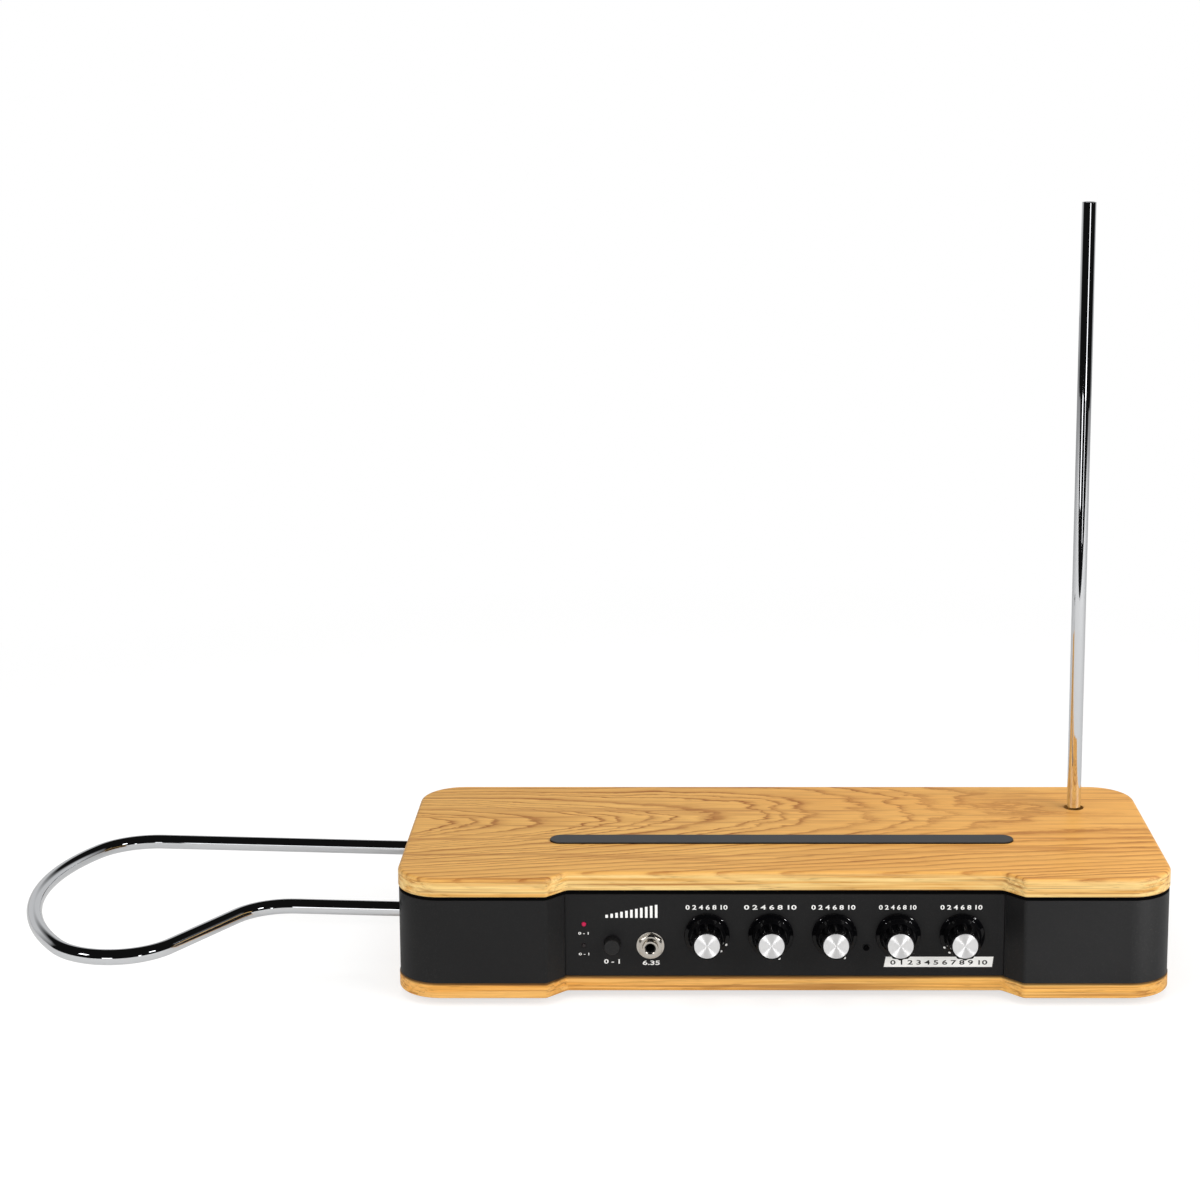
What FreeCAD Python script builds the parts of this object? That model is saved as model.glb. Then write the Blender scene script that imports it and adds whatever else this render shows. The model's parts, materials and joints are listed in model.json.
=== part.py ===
import FreeCAD, Part
import math
import os

from FreeCAD import Vector

os.makedirs("parts", exist_ok=True)

# A table-top theremin. Millimetres, +X to the player's right, -Y to the player, +Z up.
# The origin is the mouth of the microphone-stand thread, in the underside of the box.

# ---- cabinet ----
cabinet_width = 495.0
cabinet_depth = 190.0
corner_radius = 28.5
bottom_plate_thickness = 10.0
top_plate_thickness = 12.0
wall_height = 57.0              # from one wood plate to the other
top_arris_radius = 2.6          # round the top of the box
plate_arris_radius = 0.8        # on the other edges of the wood plates
recess_depth = 12.7             # how far the front panel stands back
recess_half_width = 138.6       # at the panel
recess_corner_radius = 4.0
smallest_corner_radius = 0.5    # where an inset outline would lose its corner
groove_length = 306.0
groove_width = 16.0
groove_depth = 3.5
groove_y = -20.0
inlay_rise = 1.2                 # of the strip above the wood
inlay_edge = 0.5
inlay_clearance = 0.25

# ---- walls and panels ----
wall_thickness = 1.5
wall_inset = 0.4                # from the edge of the wood
reveal_height = 2.3             # black line under the top plate
gasket_inset = 1.2
gasket_width = 7.0
panel_thickness = 2.0
panel_gap = 0.3                 # round the edge of each panel
panel_overlap = 1.3             # of the front panel past the flat of the recess, at each end
flange_width = 9.0
rear_panel_half_width = 150.0
stud_radius = 1.5
stud_length = 5.5
stud_edge = 4.5                 # from the end of a panel to its studs
stud_rise = 9.0                 # from the top or bottom of a panel to its studs
stud_hole_clearance = 0.2
stud_nut_flats = 5.5
stud_nut_thickness = 2.4

# ---- what clamps the box and what it stands on ----
post_inset_x = 77.5              # from the ends and the long sides of the box
post_inset_y = 19.0
post_flats = 9.0
insert_radius = 3.0
insert_depth = 8.0
cabinet_screw_radius = 2.0
cabinet_screw_grip = 14.0       # how far the screw runs into its post
foot_inset_x = 33.5
foot_inset_y = 25.0
foot_radius = 10.0
foot_height = 5.0
foot_taper = 0.5
foot_edge = 0.6
foot_hollow_radius = 4.6
foot_floor = 2.0
stand_thread_radius = 7.45      # 5/8"-27, at the thread's crest
stand_thread_length = 16.0
stand_boss_radius = 12.0
stand_flange_radius = 30.0
stand_flange_thickness = 4.0
stand_screw_circle = 22.0
stand_screw_count = 4
stand_screw_cover = 1.0         # wood left above the ends of the flange's screws

# ---- wood screws and machine screws ----
pan_head_crown = 0.8            # radius of a pan head's top, as a share of the head
pan_head_side = 0.45            # height of its side, as a share of the head
wood_screw_radius = 1.6
wood_screw_head_radius = 3.2
wood_screw_head_height = 2.0
wood_screw_bite = 6.5
board_screw_radius = 1.4
board_screw_head_radius = 2.75
board_screw_head_height = 1.8

# ---- antennas, 3/8 inch tube ----
tube_radius = 4.7625
tube_wall = 0.9
tube_fit = 0.05                 # running clearance in a socket
pitch_hole_clearance = 2.04      # round the tube, where it enters the wood
pitch_antenna_length = 457.0
pitch_antenna_engaged = 41.5
pitch_antenna_inset_x = 44.5    # from the right end and the long back side
pitch_antenna_inset_y = 47.0
socket_wall = 2.7
socket_floor = 3.0
pitch_flange_radius = 18.0
pitch_flange_thickness = 3.0
pitch_flange_screws = 3
volume_antenna_drop = 18.7      # at the wall, below its top
volume_antenna_tilt = 1.5       # degrees, rising to the left
volume_leg_inset = 36.5         # from the long sides of the box
volume_antenna_engaged = 36.0
volume_hole_clearance = 1.24
bracket_thickness = 2.0
bracket_foot = 22.0
bracket_headroom = 8.7          # below the top of the wall
# Bends of the loop from the rear leg round to the front one: centre-line radius, degrees
rear_bend = (45.2, 61.5)
left_bend = (155.6, 67.2)
front_bend = (41.8, 110.9)
return_bend_radius = 41.1
rear_leg_outside = 177.7        # straight, from the wall to the first bend

# ---- front panel: places along X and heights above the bottom plate ----
knob_pitch = 40.64
knob_row_x = 31.7               # of the middle knob
knob_row_rise = 27.8
mute_button_x = -110.0
mute_button_rise = 21.9
phones_jack_x = -85.6
phones_jack_rise = 20.6
led_x = -128.0
power_led_rise = 34.6
mute_led_rise = 20.4
panel_screw_x = 52.05
panel_screw_rise = 19.0

# ---- knobs, their shafts and potentiometers ----
knob_names = ["phones_volume", "volume_range", "pitch_range", "waveform", "brightness"]
knob_gap = 1.0                  # from panel to skirt
knob_height = 20.4              # from panel to the end of the knob
knob_radius = 9.75
knob_taper = 0.65
skirt_radius = 14.4
skirt_rim = 1.0
skirt_rise = 7.2
knob_hollow_radius = 9.0
knob_hollow_depth = 5.0
knob_bore_spare = 0.2           # past the end of the shaft
knob_edge = 0.5
flute_count = 12
flute_radius = 3.2
flute_depth = 0.8
cap_border = 1.7                # knob left showing round the cap
cap_seat_depth = 0.8
cap_thickness = 1.0
cap_clearance = 0.05
cap_edge = 0.2
shaft_radius = 3.0
shaft_fit = 0.05                # running clearance in the bushing
knob_grip = 0.03                # between the shaft and the knob pushed onto it
shaft_reach = 15.2              # in front of the panel
shaft_inside = 5.0              # behind the panel
bushing_wall = 0.45
bushing_reach = 4.6
bushing_hole_clearance = 0.1
pot_radius = 8.25
pot_washer_radius = 6.0
pot_washer_thickness = 0.6
pot_nut_flats = 10.0
pot_nut_thickness = 2.0

# ---- mute button, lamps and sockets ----
button_radius = 4.9
button_reach = 8.0
button_travel = 2.0
button_clearance = 0.35
button_edge = 0.6
button_behind = 0.4
button_stem_radius = 2.0
button_stem_fit = 0.06
button_stem_length = 6.0
switch_size = 12.0
switch_front_gap = 3.2
switch_bore_spare = 0.5         # past the stem at the end of its travel
led_radius = 1.45
led_reach = 0.9
led_dome_radius = 0.87
led_flange_radius = 1.9
led_flange_thickness = 1.0
led_flange_gap = 1.0
led_leg = 0.5
led_leg_spacing = 1.3
panel_screw_radius = 1.2
panel_screw_head_radius = 2.0
panel_screw_head_height = 0.8
panel_screw_cross = (0.5, 2.4)  # width and length of each slot
panel_screw_cross_floor = 0.2
jack_bore_radius = 3.25
jack_bushing_radius = 4.7625
jack_reach = 6.5
jack_bushing_root = 1.0         # sunk in the jack's body
jack_bore_length = 32.0
jack_mouth_chamfer = 0.4
jack_washer_radius = 8.8
jack_washer_thickness = 0.8
jack_nut_flats = 14.5
jack_nut_thickness = 2.6
jack_body_width = 16.0
jack_body_height = 18.0
jack_body_depth = 26.0
jack_hole_clearance = 0.1

# ---- back panel: places along X, all on one height ----
rear_row_rise = 27.0            # above the bottom plate
output_jack_x = [40.0, 5.0]
cv_jack_x = [-40.0, -62.0, -84.0]
cv_bore_radius = 1.85
cv_bushing_radius = 3.0
cv_reach = 4.5
cv_bore_length = 14.0
cv_nut_radius = 4.0
cv_nut_thickness = 2.0
cv_body_width = 9.0
cv_body_depth = 10.5
dc_inlet_x = 85.0
dc_flange_radius = 7.0
dc_flange_thickness = 1.5
dc_body_radius = 5.5
dc_bore_radius = 2.8
dc_pin_radius = 1.0
dc_pin_setback = 1.0
dc_bore_depth = 9.5
dc_body_depth = 14.0
power_switch_x = 120.0
rocker_half_width = 5.2
rocker_half_height = 7.8
rocker_side_clearance = 0.4
rocker_end_clearance = 1.2
rocker_face_angle = 10.0        # each half of the face from the tangent, degrees
rocker_rise = 3.0
rocker_cheek_depth = 1.0        # behind the pivot, at the ends of the rocker
rocker_cheek_inset = 1.2
rocker_root_depth = 3.0         # behind the pivot, at its middle
rocker_root_half_height = 3.0
rocker_pin_radius = 1.2
rocker_pin_fit = 0.05
rocker_pin_length = 1.4
rocker_pivot_depth = 1.0        # behind the outside of the panel
switch_wall = 2.0
switch_bezel_overlap = 1.2
switch_bezel_thickness = 1.5
switch_cavity_depth = 9.0
switch_body_depth = 12.0

# ---- boards ----
board_thickness = 1.6
control_board_gap = 10.0        # from the panel's back to the board
control_board_left = -134.0
control_board_right = 125.0
control_board_margin = 4.0      # above the bottom plate and below the wall's top
control_board_notch_gap = 1.0   # round the phones jack
main_board_x = (-112.0, 118.0)
main_board_front_gap = 22.7     # behind the control board
main_board_rear_gap = 34.6      # in front of the back panel
standoff_height = 9.0
standoff_flats = 6.0
standoff_inset = 6.0
standoff_screw_grip = 5.4
coil_radius = 7.0
coil_height = 22.0
coil_bobbin_radius = 9.0
coil_flange_thickness = 1.5
coil_row_gap = 20.0             # from the board's back edge to the coils
pitch_coil_x = [58.0, 80.0, 102.0]
volume_coil_x = [-98.0, -76.0]
chip_height = 2.4
rear_chips = [(-60.0, 9.0, 9.0), (-30.0, 10.0, 7.0), (0.0, 10.0, 7.0), (30.0, 9.0, 9.0)]
rear_chip_gap = 36.0            # from the board's back edge
front_chips = [(-20.0, 16.0, 12.0), (60.0, 10.0, 7.0), (85.0, 10.0, 7.0)]
front_row_gap = 22.0            # from the board's front edge
capacitor_x = [-90.0, -78.0, -66.0, 104.0]
capacitor_radius = 4.0
capacitor_height = 10.0
header_height = 6.0
header_width = 30.0
header_depth = 5.0
header_edge_gap = 3.0
header_x = 14.0
ribbon_thickness = 1.0
ribbon_margin = 1.0
ribbon_reach = 4.0              # out of the control board's header
ribbon_rise = 8.0               # over the main board's header
lead_radius = 0.9
lead_bend = 6.0
lead_rise = 9.0
lead_climb = 10.9               # straight up into the pitch socket
pitch_lead_start = (114.0, 36.0)    # place along X, and from the board's back edge
volume_lead_start = (-107.0, 26.0)
lead_approach = 20.0            # straight run into the volume socket
overcut = 1.0                   # how far a cutting tool stands out of the wood
touching = 0.01                 # two places nearer than this are one

# ---- worked out from the above ----
z_wall = bottom_plate_thickness
z_ceiling = z_wall + wall_height
knob_row_z = z_wall + knob_row_rise
mute_button_z = z_wall + mute_button_rise
phones_jack_z = z_wall + phones_jack_rise
power_led_z = z_wall + power_led_rise
mute_led_z = z_wall + mute_led_rise
panel_screw_z = z_wall + panel_screw_rise
rear_row_z = z_wall + rear_row_rise
z_top = z_ceiling + top_plate_thickness
wall_top = z_ceiling - reveal_height
volume_antenna_height = wall_top - volume_antenna_drop
left_side = -cabinet_width / 2
front_side = -cabinet_depth / 2
rear_side = cabinet_depth / 2
panel_face = front_side + recess_depth
panel_back = panel_face + panel_thickness
rear_face = rear_side - wall_inset
rear_back = rear_face - panel_thickness
panel_half_width = recess_half_width + panel_overlap
control_board_y = panel_back + control_board_gap
control_board_back = control_board_y + board_thickness
main_board_y = (control_board_back + main_board_front_gap, rear_back - main_board_rear_gap)
coil_y = main_board_y[1] - coil_row_gap
board_z = z_wall + standoff_height
board_top = board_z + board_thickness
socket_radius = tube_radius + socket_wall
socket_bore = tube_radius + tube_fit
pitch_hole_radius = tube_radius + pitch_hole_clearance
volume_hole_radius = tube_radius + volume_hole_clearance
volume_leg_y = cabinet_depth / 2 - volume_leg_inset
bracket_half_width = volume_leg_y + socket_radius
bracket_top = wall_top - bracket_headroom
stand_screw_length = bottom_plate_thickness - stand_screw_cover
bushing_radius = shaft_radius + shaft_fit + bushing_wall
cap_radius = knob_radius - cap_border
post_x = cabinet_width / 2 - post_inset_x
post_y = cabinet_depth / 2 - post_inset_y
foot_x = cabinet_width / 2 - foot_inset_x
foot_y = cabinet_depth / 2 - foot_inset_y
pitch_antenna_x = cabinet_width / 2 - pitch_antenna_inset_x
pitch_antenna_y = cabinet_depth / 2 - pitch_antenna_inset_y
pitch_antenna_foot = z_top - pitch_antenna_engaged
knob_x = [knob_row_x + knob_pitch * place for place in (-2, -1, 0, 1, 2)]

OUT_FRONT = (0, -1, 0)
OUT_REAR = (0, 1, 0)
INWARDS = (1, 0, 0)             # from the left end of the box
UP = (0, 0, 1)
DOWN = (0, 0, -1)


# ---- small helpers ----
def save(name, *solids):
    shape = solids[0] if len(solids) == 1 else Part.makeCompound(list(solids))
    if not shape.isValid():
        raise ValueError("invalid shape: " + name)
    shape.exportStep("parts/" + name + ".step")


def box(x0, x1, y0, y1, z0, z1):
    return Part.makeBox(x1 - x0, y1 - y0, z1 - z0, Vector(x0, y0, z0))


def rod(radius, length, base, direction=UP):
    return Part.makeCylinder(radius, length, Vector(*base), Vector(*direction))


def tube(outer, inner, length, base, direction=UP):
    return rod(outer, length, base, direction).cut(rod(inner, length, base, direction))


def along(shape, base, direction, turn=0):
    """Take a shape built on +Z at the origin to a base point and direction."""
    placed = shape.copy()
    spin = FreeCAD.Rotation(Vector(0, 0, 1), turn)
    aim = FreeCAD.Rotation(Vector(0, 0, 1), Vector(*direction))
    placed.Placement = FreeCAD.Placement(Vector(*base), aim.multiply(spin))
    return placed


def hexagon(flats, length, base, direction=UP, turn=0):
    corner = flats / math.sqrt(3)
    angles = [math.radians(60 * k) for k in range(7)]
    points = [Vector(corner * math.cos(angle), corner * math.sin(angle), 0) for angle in angles]
    prism = Part.Face(Part.makePolygon(points)).extrude(Vector(0, 0, length))
    return along(prism, base, direction, turn)


def nut(flats, bore, thickness, base, direction=UP, turn=0):
    return hexagon(flats, thickness, base, direction, turn).cut(rod(bore, thickness, base, direction))


def revolved(profile, base=(0, 0, 0), direction=UP):
    """Turn a closed outline of (radius, height) points round its axis."""
    points = [Vector(radius, 0, height) for radius, height in profile]
    face = Part.Face(Part.makePolygon(points + points[:1]))
    return along(face.revolve(Vector(0, 0, 0), Vector(0, 0, 1), 360), base, direction)


def join(first, *others):
    return first.multiFuse(list(others)).removeSplitter()


def rounded_face(corners, z):
    """A flat face whose corners are (x, y, radius)."""
    edges = []
    starts = []
    ends = []
    count = len(corners)
    for index, (x, y, radius) in enumerate(corners):
        here = Vector(x, y, z)
        before = Vector(*corners[index - 1][:2], z) - here
        after = Vector(*corners[(index + 1) % count][:2], z) - here
        before.normalize()
        after.normalize()
        half_angle = before.getAngle(after) / 2
        reach = radius / math.tan(half_angle)
        middle = before + after
        middle.normalize()
        centre_distance = radius / math.sin(half_angle)
        starts.append(here + before * reach)
        ends.append(here + after * reach)
        edges.append(Part.Arc(starts[-1], here + middle * (centre_distance - radius), ends[-1]).toShape())
    for index in range(count):
        edges.append(Part.makeLine(ends[index], starts[(index + 1) % count]))
    return Part.Face(Part.Wire(Part.__sortEdges__(edges)))


def footprint(inset):
    """Outline of the box as (x, y, radius) corners, moved inwards by inset."""
    shift = inset * math.tan(math.radians(45 / 2))      # the recess has 45 degree cheeks
    x = cabinet_width / 2 - inset
    front = front_side + inset
    rear = rear_side - inset
    cheek = recess_half_width + recess_depth + shift
    inner = recess_half_width + shift
    outside = corner_radius - inset
    convex = max(recess_corner_radius - inset, smallest_corner_radius)
    concave = recess_corner_radius + inset
    return [(-x, front, outside), (-cheek, front, convex), (-inner, front + recess_depth, concave),
            (inner, front + recess_depth, concave), (cheek, front, convex), (x, front, outside),
            (x, rear, outside), (-x, rear, outside)]


def slab(inset, z0, z1):
    return rounded_face(footprint(inset), z0).extrude(Vector(0, 0, z1 - z0))


def band(inset, width, z0, z1):
    return slab(inset, z0, z1).cut(slab(inset + width, z0, z1))


def stadium(length, width, centre, z0, z1):
    x, y = centre
    reach = (length - width) / 2
    middle = box(x - reach, x + reach, y - width / 2, y + width / 2, z0, z1)
    ends = [rod(width / 2, z1 - z0, (x + side * reach, y, z0)) for side in (-1, 1)]
    return join(middle, *ends)


def countersunk_screw(base, length, radius, head_radius, direction=UP):
    head = head_radius - radius
    profile = [(0, 0), (head_radius, 0), (radius, head), (radius, length), (0, length)]
    return revolved(profile, base, direction)


def pan_screw(base, length, radius, head_radius, head_height, direction=UP):
    """A screw whose head's seat is at base and whose shank runs along direction."""
    profile = [(0, -head_height), (head_radius * pan_head_crown, -head_height),
               (head_radius, -head_height * pan_head_side), (head_radius, 0), (radius, 0),
               (radius, length), (0, length)]
    return revolved(profile, base, direction)


def mirrored_places(x, y):
    return [(sx * x, sy * y) for sx in (-1, 1) for sy in (-1, 1)]


def stand_screw_places():
    ring = stand_screw_circle
    angles = [2 * math.pi * (k + 0.5) / stand_screw_count for k in range(stand_screw_count)]
    return [(ring * math.cos(angle), ring * math.sin(angle)) for angle in angles]


def pitch_screw_places():
    ring = (socket_radius + pitch_flange_radius) / 2
    step = 2 * math.pi / pitch_flange_screws
    return [(pitch_antenna_x + ring * math.cos(step * k), pitch_antenna_y + ring * math.sin(step * k))
            for k in range(pitch_flange_screws)]


def softened(plate, level, radius):
    """Round the long outer edges of a wood plate that lie at one level."""
    edges = [edge for edge in plate.Edges
             if edge.BoundBox.ZLength < touching and abs(edge.BoundBox.ZMin - level) < touching]
    return plate.makeFillet(radius, edges)


# ---- wood plates ----
def make_top_plate():
    floor = z_top - groove_depth
    plate = softened(slab(0, z_ceiling, z_top), z_ceiling, plate_arris_radius)
    plate = softened(plate, z_top, top_arris_radius)
    plate = plate.cut(stadium(groove_length, groove_width, (0, groove_y), floor, z_top + overcut))
    antenna_base = (pitch_antenna_x, pitch_antenna_y, z_ceiling)
    plate = plate.cut(rod(pitch_hole_radius, top_plate_thickness, antenna_base))
    for x, y in mirrored_places(post_x, post_y):
        plate = plate.cut(rod(insert_radius, insert_depth, (x, y, z_ceiling)))
    for x, y in pitch_screw_places():
        plate = plate.cut(rod(wood_screw_radius, wood_screw_bite, (x, y, z_ceiling)))
    save("top_plate", plate)
    strip_top = z_top + inlay_rise
    strip = stadium(groove_length - 2 * inlay_clearance, groove_width - 2 * inlay_clearance,
                    (0, groove_y), floor, strip_top)
    rim = [edge for edge in strip.Edges if edge.BoundBox.ZMin > strip_top - touching]
    strip = strip.makeFillet(inlay_edge, rim)
    save("top_inlay_strip", strip)


def make_bottom_plate():
    plate = softened(slab(0, 0, z_wall), 0, plate_arris_radius)
    plate = softened(plate, z_wall, plate_arris_radius)
    plate = plate.cut(rod(stand_flange_radius + panel_gap, stand_flange_thickness, (0, 0, 0)))
    plate = plate.cut(rod(stand_boss_radius + panel_gap, bottom_plate_thickness, (0, 0, 0)))
    for x, y in stand_screw_places():
        plate = plate.cut(rod(wood_screw_radius, stand_screw_length, (x, y, 0)))
    for x, y in mirrored_places(foot_x, foot_y):
        plate = plate.cut(rod(wood_screw_radius, wood_screw_bite, (x, y, 0)))
    for x, y in mirrored_places(post_x, post_y):
        plate = plate.cut(cabinet_screw(x, y))
    for x, y in bracket_screw_places() + standoff_places():
        plate = plate.cut(rod(board_screw_radius, wood_screw_bite, (x, y, z_wall - wood_screw_bite)))
    save("bottom_plate", plate)


def cabinet_screw(x, y):
    return countersunk_screw((x, y, 0), bottom_plate_thickness + cabinet_screw_grip,
                             cabinet_screw_radius, cabinet_screw_radius * 2)


def make_posts():
    posts = []
    for x, y in mirrored_places(post_x, post_y):
        body = hexagon(post_flats, wall_height, (x, y, z_wall))
        stud = rod(insert_radius, insert_depth, (x, y, z_ceiling))
        posts.append(join(body, stud).cut(rod(cabinet_screw_radius, cabinet_screw_grip, (x, y, z_wall))))
    save("cabinet_posts", *posts)
    save("cabinet_screws", *[cabinet_screw(x, y) for x, y in mirrored_places(post_x, post_y)])


def make_feet():
    tread = foot_radius - foot_taper
    profile = [(wood_screw_radius, 0), (foot_radius, 0), (tread, foot_edge - foot_height),
               (tread - foot_edge, -foot_height), (foot_hollow_radius, -foot_height),
               (foot_hollow_radius, -foot_floor), (wood_screw_radius, -foot_floor)]
    feet = []
    screws = []
    for x, y in mirrored_places(foot_x, foot_y):
        feet.append(revolved(profile, (x, y, 0)))
        screws.append(pan_screw((x, y, -foot_floor), foot_floor + wood_screw_bite, wood_screw_radius,
                                wood_screw_head_radius, wood_screw_head_height))
    save("rubber_feet", *feet)
    screws += [stand_screw(x, y) for x, y in stand_screw_places()]
    save("base_screws", *screws)


def stand_screw(x, y):
    return countersunk_screw((x, y, 0), stand_screw_length, wood_screw_radius, wood_screw_head_radius)


def make_stand_flange():
    flange = join(rod(stand_flange_radius, stand_flange_thickness, (0, 0, 0)),
                  rod(stand_boss_radius, stand_thread_length, (0, 0, 0)))
    flange = flange.cut(rod(stand_thread_radius, stand_thread_length, (0, 0, 0)))
    for x, y in stand_screw_places():
        flange = flange.cut(stand_screw(x, y))
    save("stand_flange", flange)


# ---- walls and panels ----
def wall_block(side, x0, x1, y0, y1):
    """A block of the wall's height, mirrored to one end of the box."""
    low, high = sorted((side * x0, side * x1))
    return box(low, high, y0, y1, z_wall, wall_top)


def make_end_walls():
    """Each wall wraps one end; its ends step back behind the front and rear panels."""
    sheet = band(wall_inset, wall_thickness, z_wall, wall_top)
    seam = panel_half_width + panel_gap
    rear_seam = rear_panel_half_width + panel_gap
    cheek_y = front_side + wall_inset + (recess_half_width + recess_depth - seam)
    front_flange_back = panel_back + wall_thickness
    rear_flange_back = rear_back - wall_thickness
    for side, name in ((-1, "left_end_wall"), (1, "right_end_wall")):
        outer_part = wall_block(side, rear_seam, cabinet_width, front_side, rear_side)
        cheek_part = wall_block(side, seam, rear_seam, front_side, 0)
        front_step = wall_block(side, seam, seam + wall_thickness, cheek_y, front_flange_back)
        front_flange = wall_block(side, seam - flange_width, seam + wall_thickness,
                                  panel_back, front_flange_back)
        rear_step = wall_block(side, rear_seam, rear_seam + wall_thickness, rear_flange_back, rear_face)
        rear_flange = wall_block(side, rear_seam - flange_width, rear_seam + wall_thickness,
                                 rear_flange_back, rear_back)
        wall = join(sheet.common(outer_part.fuse(cheek_part)),
                    front_step, front_flange, rear_step, rear_flange)
        hole_radius = stud_radius + stud_hole_clearance
        for x, z in stud_places(panel_half_width):
            wall = wall.cut(rod(hole_radius, recess_depth, (x, panel_face, z), OUT_REAR))
        for x, z in stud_places(rear_panel_half_width):
            wall = wall.cut(rod(hole_radius, recess_depth, (x, rear_face, z), OUT_FRONT))
        if side < 0:
            for y in (-volume_leg_y, volume_leg_y):
                wall = wall.cut(rod(volume_hole_radius, wall_inset + wall_thickness,
                                    (left_side, y, volume_antenna_height), INWARDS))
        save(name, wall)
    save("reveal_gasket", band(gasket_inset, gasket_width, wall_top, z_ceiling))


def stud_places(half_width):
    return [(sx * (half_width - stud_edge), z) for sx in (-1, 1)
            for z in (z_wall + stud_rise, wall_top - stud_rise)]


def panel_with_studs(half_width, outside, inside):
    """A flat panel between two Y planes, with welded studs on its inner face."""
    direction = OUT_REAR if inside > outside else OUT_FRONT
    plate = box(-half_width, half_width, min(outside, inside), max(outside, inside),
                z_wall + panel_gap, wall_top - panel_gap)
    studs = [rod(stud_radius, stud_length, (x, inside, z), direction) for x, z in stud_places(half_width)]
    return join(plate, *studs)


def make_front_panel():
    panel = panel_with_studs(panel_half_width, panel_face, panel_back)

    def drill(radius, x, z):
        return rod(radius, panel_thickness, (x, panel_face, z), OUT_REAR)

    for x in knob_x:
        panel = panel.cut(drill(bushing_radius + bushing_hole_clearance, x, knob_row_z))
    panel = panel.cut(drill(button_radius + button_clearance, mute_button_x, mute_button_z))
    panel = panel.cut(drill(jack_bushing_radius + jack_hole_clearance, phones_jack_x, phones_jack_z))
    for z in (power_led_z, mute_led_z):
        panel = panel.cut(drill(led_radius + bushing_hole_clearance, led_x, z))
    panel = panel.cut(drill(panel_screw_radius, panel_screw_x, panel_screw_z))
    save("front_panel", panel)


def make_rear_panel():
    panel = panel_with_studs(rear_panel_half_width, rear_face, rear_back)

    def drill(radius, x):
        return rod(radius, panel_thickness, (x, rear_face, rear_row_z), OUT_FRONT)

    for x in output_jack_x:
        panel = panel.cut(drill(jack_bushing_radius + jack_hole_clearance, x))
    for x in cv_jack_x:
        panel = panel.cut(drill(cv_bushing_radius + jack_hole_clearance, x))
    panel = panel.cut(drill(dc_body_radius + jack_hole_clearance, dc_inlet_x))
    half_width, half_height = switch_outside()
    panel = panel.cut(box(power_switch_x - half_width - jack_hole_clearance,
                          power_switch_x + half_width + jack_hole_clearance, rear_back, rear_face,
                          rear_row_z - half_height - jack_hole_clearance,
                          rear_row_z + half_height + jack_hole_clearance))
    save("rear_panel", panel)


def make_panel_stud_nuts():
    nuts = []
    for half_width, seat, direction in ((panel_half_width, panel_back + wall_thickness, OUT_REAR),
                                        (rear_panel_half_width, rear_back - wall_thickness, OUT_FRONT)):
        for x, z in stud_places(half_width):
            nuts.append(nut(stud_nut_flats, stud_radius, stud_nut_thickness, (x, seat, z), direction))
    save("panel_stud_nuts", *nuts)


# ---- knobs and potentiometers ----
def knob_shape():
    """One knob on +Z, measured from the face of the panel."""
    bore_end = shaft_reach + knob_bore_spare
    hollow_end = knob_gap + knob_hollow_depth
    cap_floor = knob_height - cap_seat_depth
    cap_seat = cap_radius + cap_clearance
    skirt_top = knob_gap + skirt_rise
    body_base = knob_radius + knob_taper
    bore = shaft_radius + knob_grip
    profile = [(0, bore_end), (bore, bore_end), (bore, hollow_end),
               (knob_hollow_radius, hollow_end), (knob_hollow_radius, knob_gap), (skirt_radius, knob_gap),
               (skirt_radius, knob_gap + skirt_rim), (body_base, skirt_top),
               (knob_radius, knob_height - knob_edge), (knob_radius - knob_edge, knob_height),
               (cap_seat, knob_height), (cap_seat, cap_floor), (0, cap_floor)]
    knob = revolved(profile)
    for k in range(flute_count):
        angle = 2 * math.pi * (k + 0.5) / flute_count
        reach = knob_radius - flute_depth + flute_radius
        place = (reach * math.cos(angle), reach * math.sin(angle), skirt_top - skirt_rim)
        knob = knob.cut(rod(flute_radius, knob_height, place))
    return knob


def make_knobs():
    knob = knob_shape()
    cap_back = knob_height - cap_seat_depth
    cap_front = cap_back + cap_thickness
    cap = revolved([(0, cap_back), (cap_radius, cap_back), (cap_radius, cap_front - cap_edge),
                    (cap_radius - cap_edge, cap_front), (0, cap_front)])
    pots = []
    washers = []
    nuts = []
    for name, x in zip(knob_names, knob_x):
        base = (x, panel_face, knob_row_z)
        save(name + "_knob", along(knob, base, OUT_FRONT))
        save(name + "_cap", along(cap, base, OUT_FRONT))
        behind_panel = (x, panel_back, knob_row_z)
        shaft_start = (x, panel_back + shaft_inside, knob_row_z)
        save(name + "_shaft", rod(shaft_radius, shaft_inside + panel_thickness + shaft_reach,
                                  shaft_start, OUT_FRONT))
        body = rod(pot_radius, control_board_gap, behind_panel, OUT_REAR)
        bushing = rod(bushing_radius, panel_thickness + bushing_reach, behind_panel, OUT_FRONT)
        bore = rod(shaft_radius + shaft_fit, shaft_inside + shaft_fit + panel_thickness + bushing_reach,
                   (x, panel_back + shaft_inside + shaft_fit, knob_row_z), OUT_FRONT)
        pots.append(join(body, bushing).cut(bore))
        washers.append(tube(pot_washer_radius, bushing_radius, pot_washer_thickness, base, OUT_FRONT))
        nuts.append(nut(pot_nut_flats, bushing_radius, pot_nut_thickness,
                        (x, panel_face - pot_washer_thickness, knob_row_z), OUT_FRONT))
    save("potentiometers", *pots)
    save("potentiometer_washers", *washers)
    save("potentiometer_nuts", *nuts)


# ---- mute button, lamps, sockets ----
def front_rim(shape, y):
    """The edges that lie in one plane facing the player."""
    return [edge for edge in shape.Edges
            if abs(edge.BoundBox.YMin - y) < touching and edge.BoundBox.YLength < touching]


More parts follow.
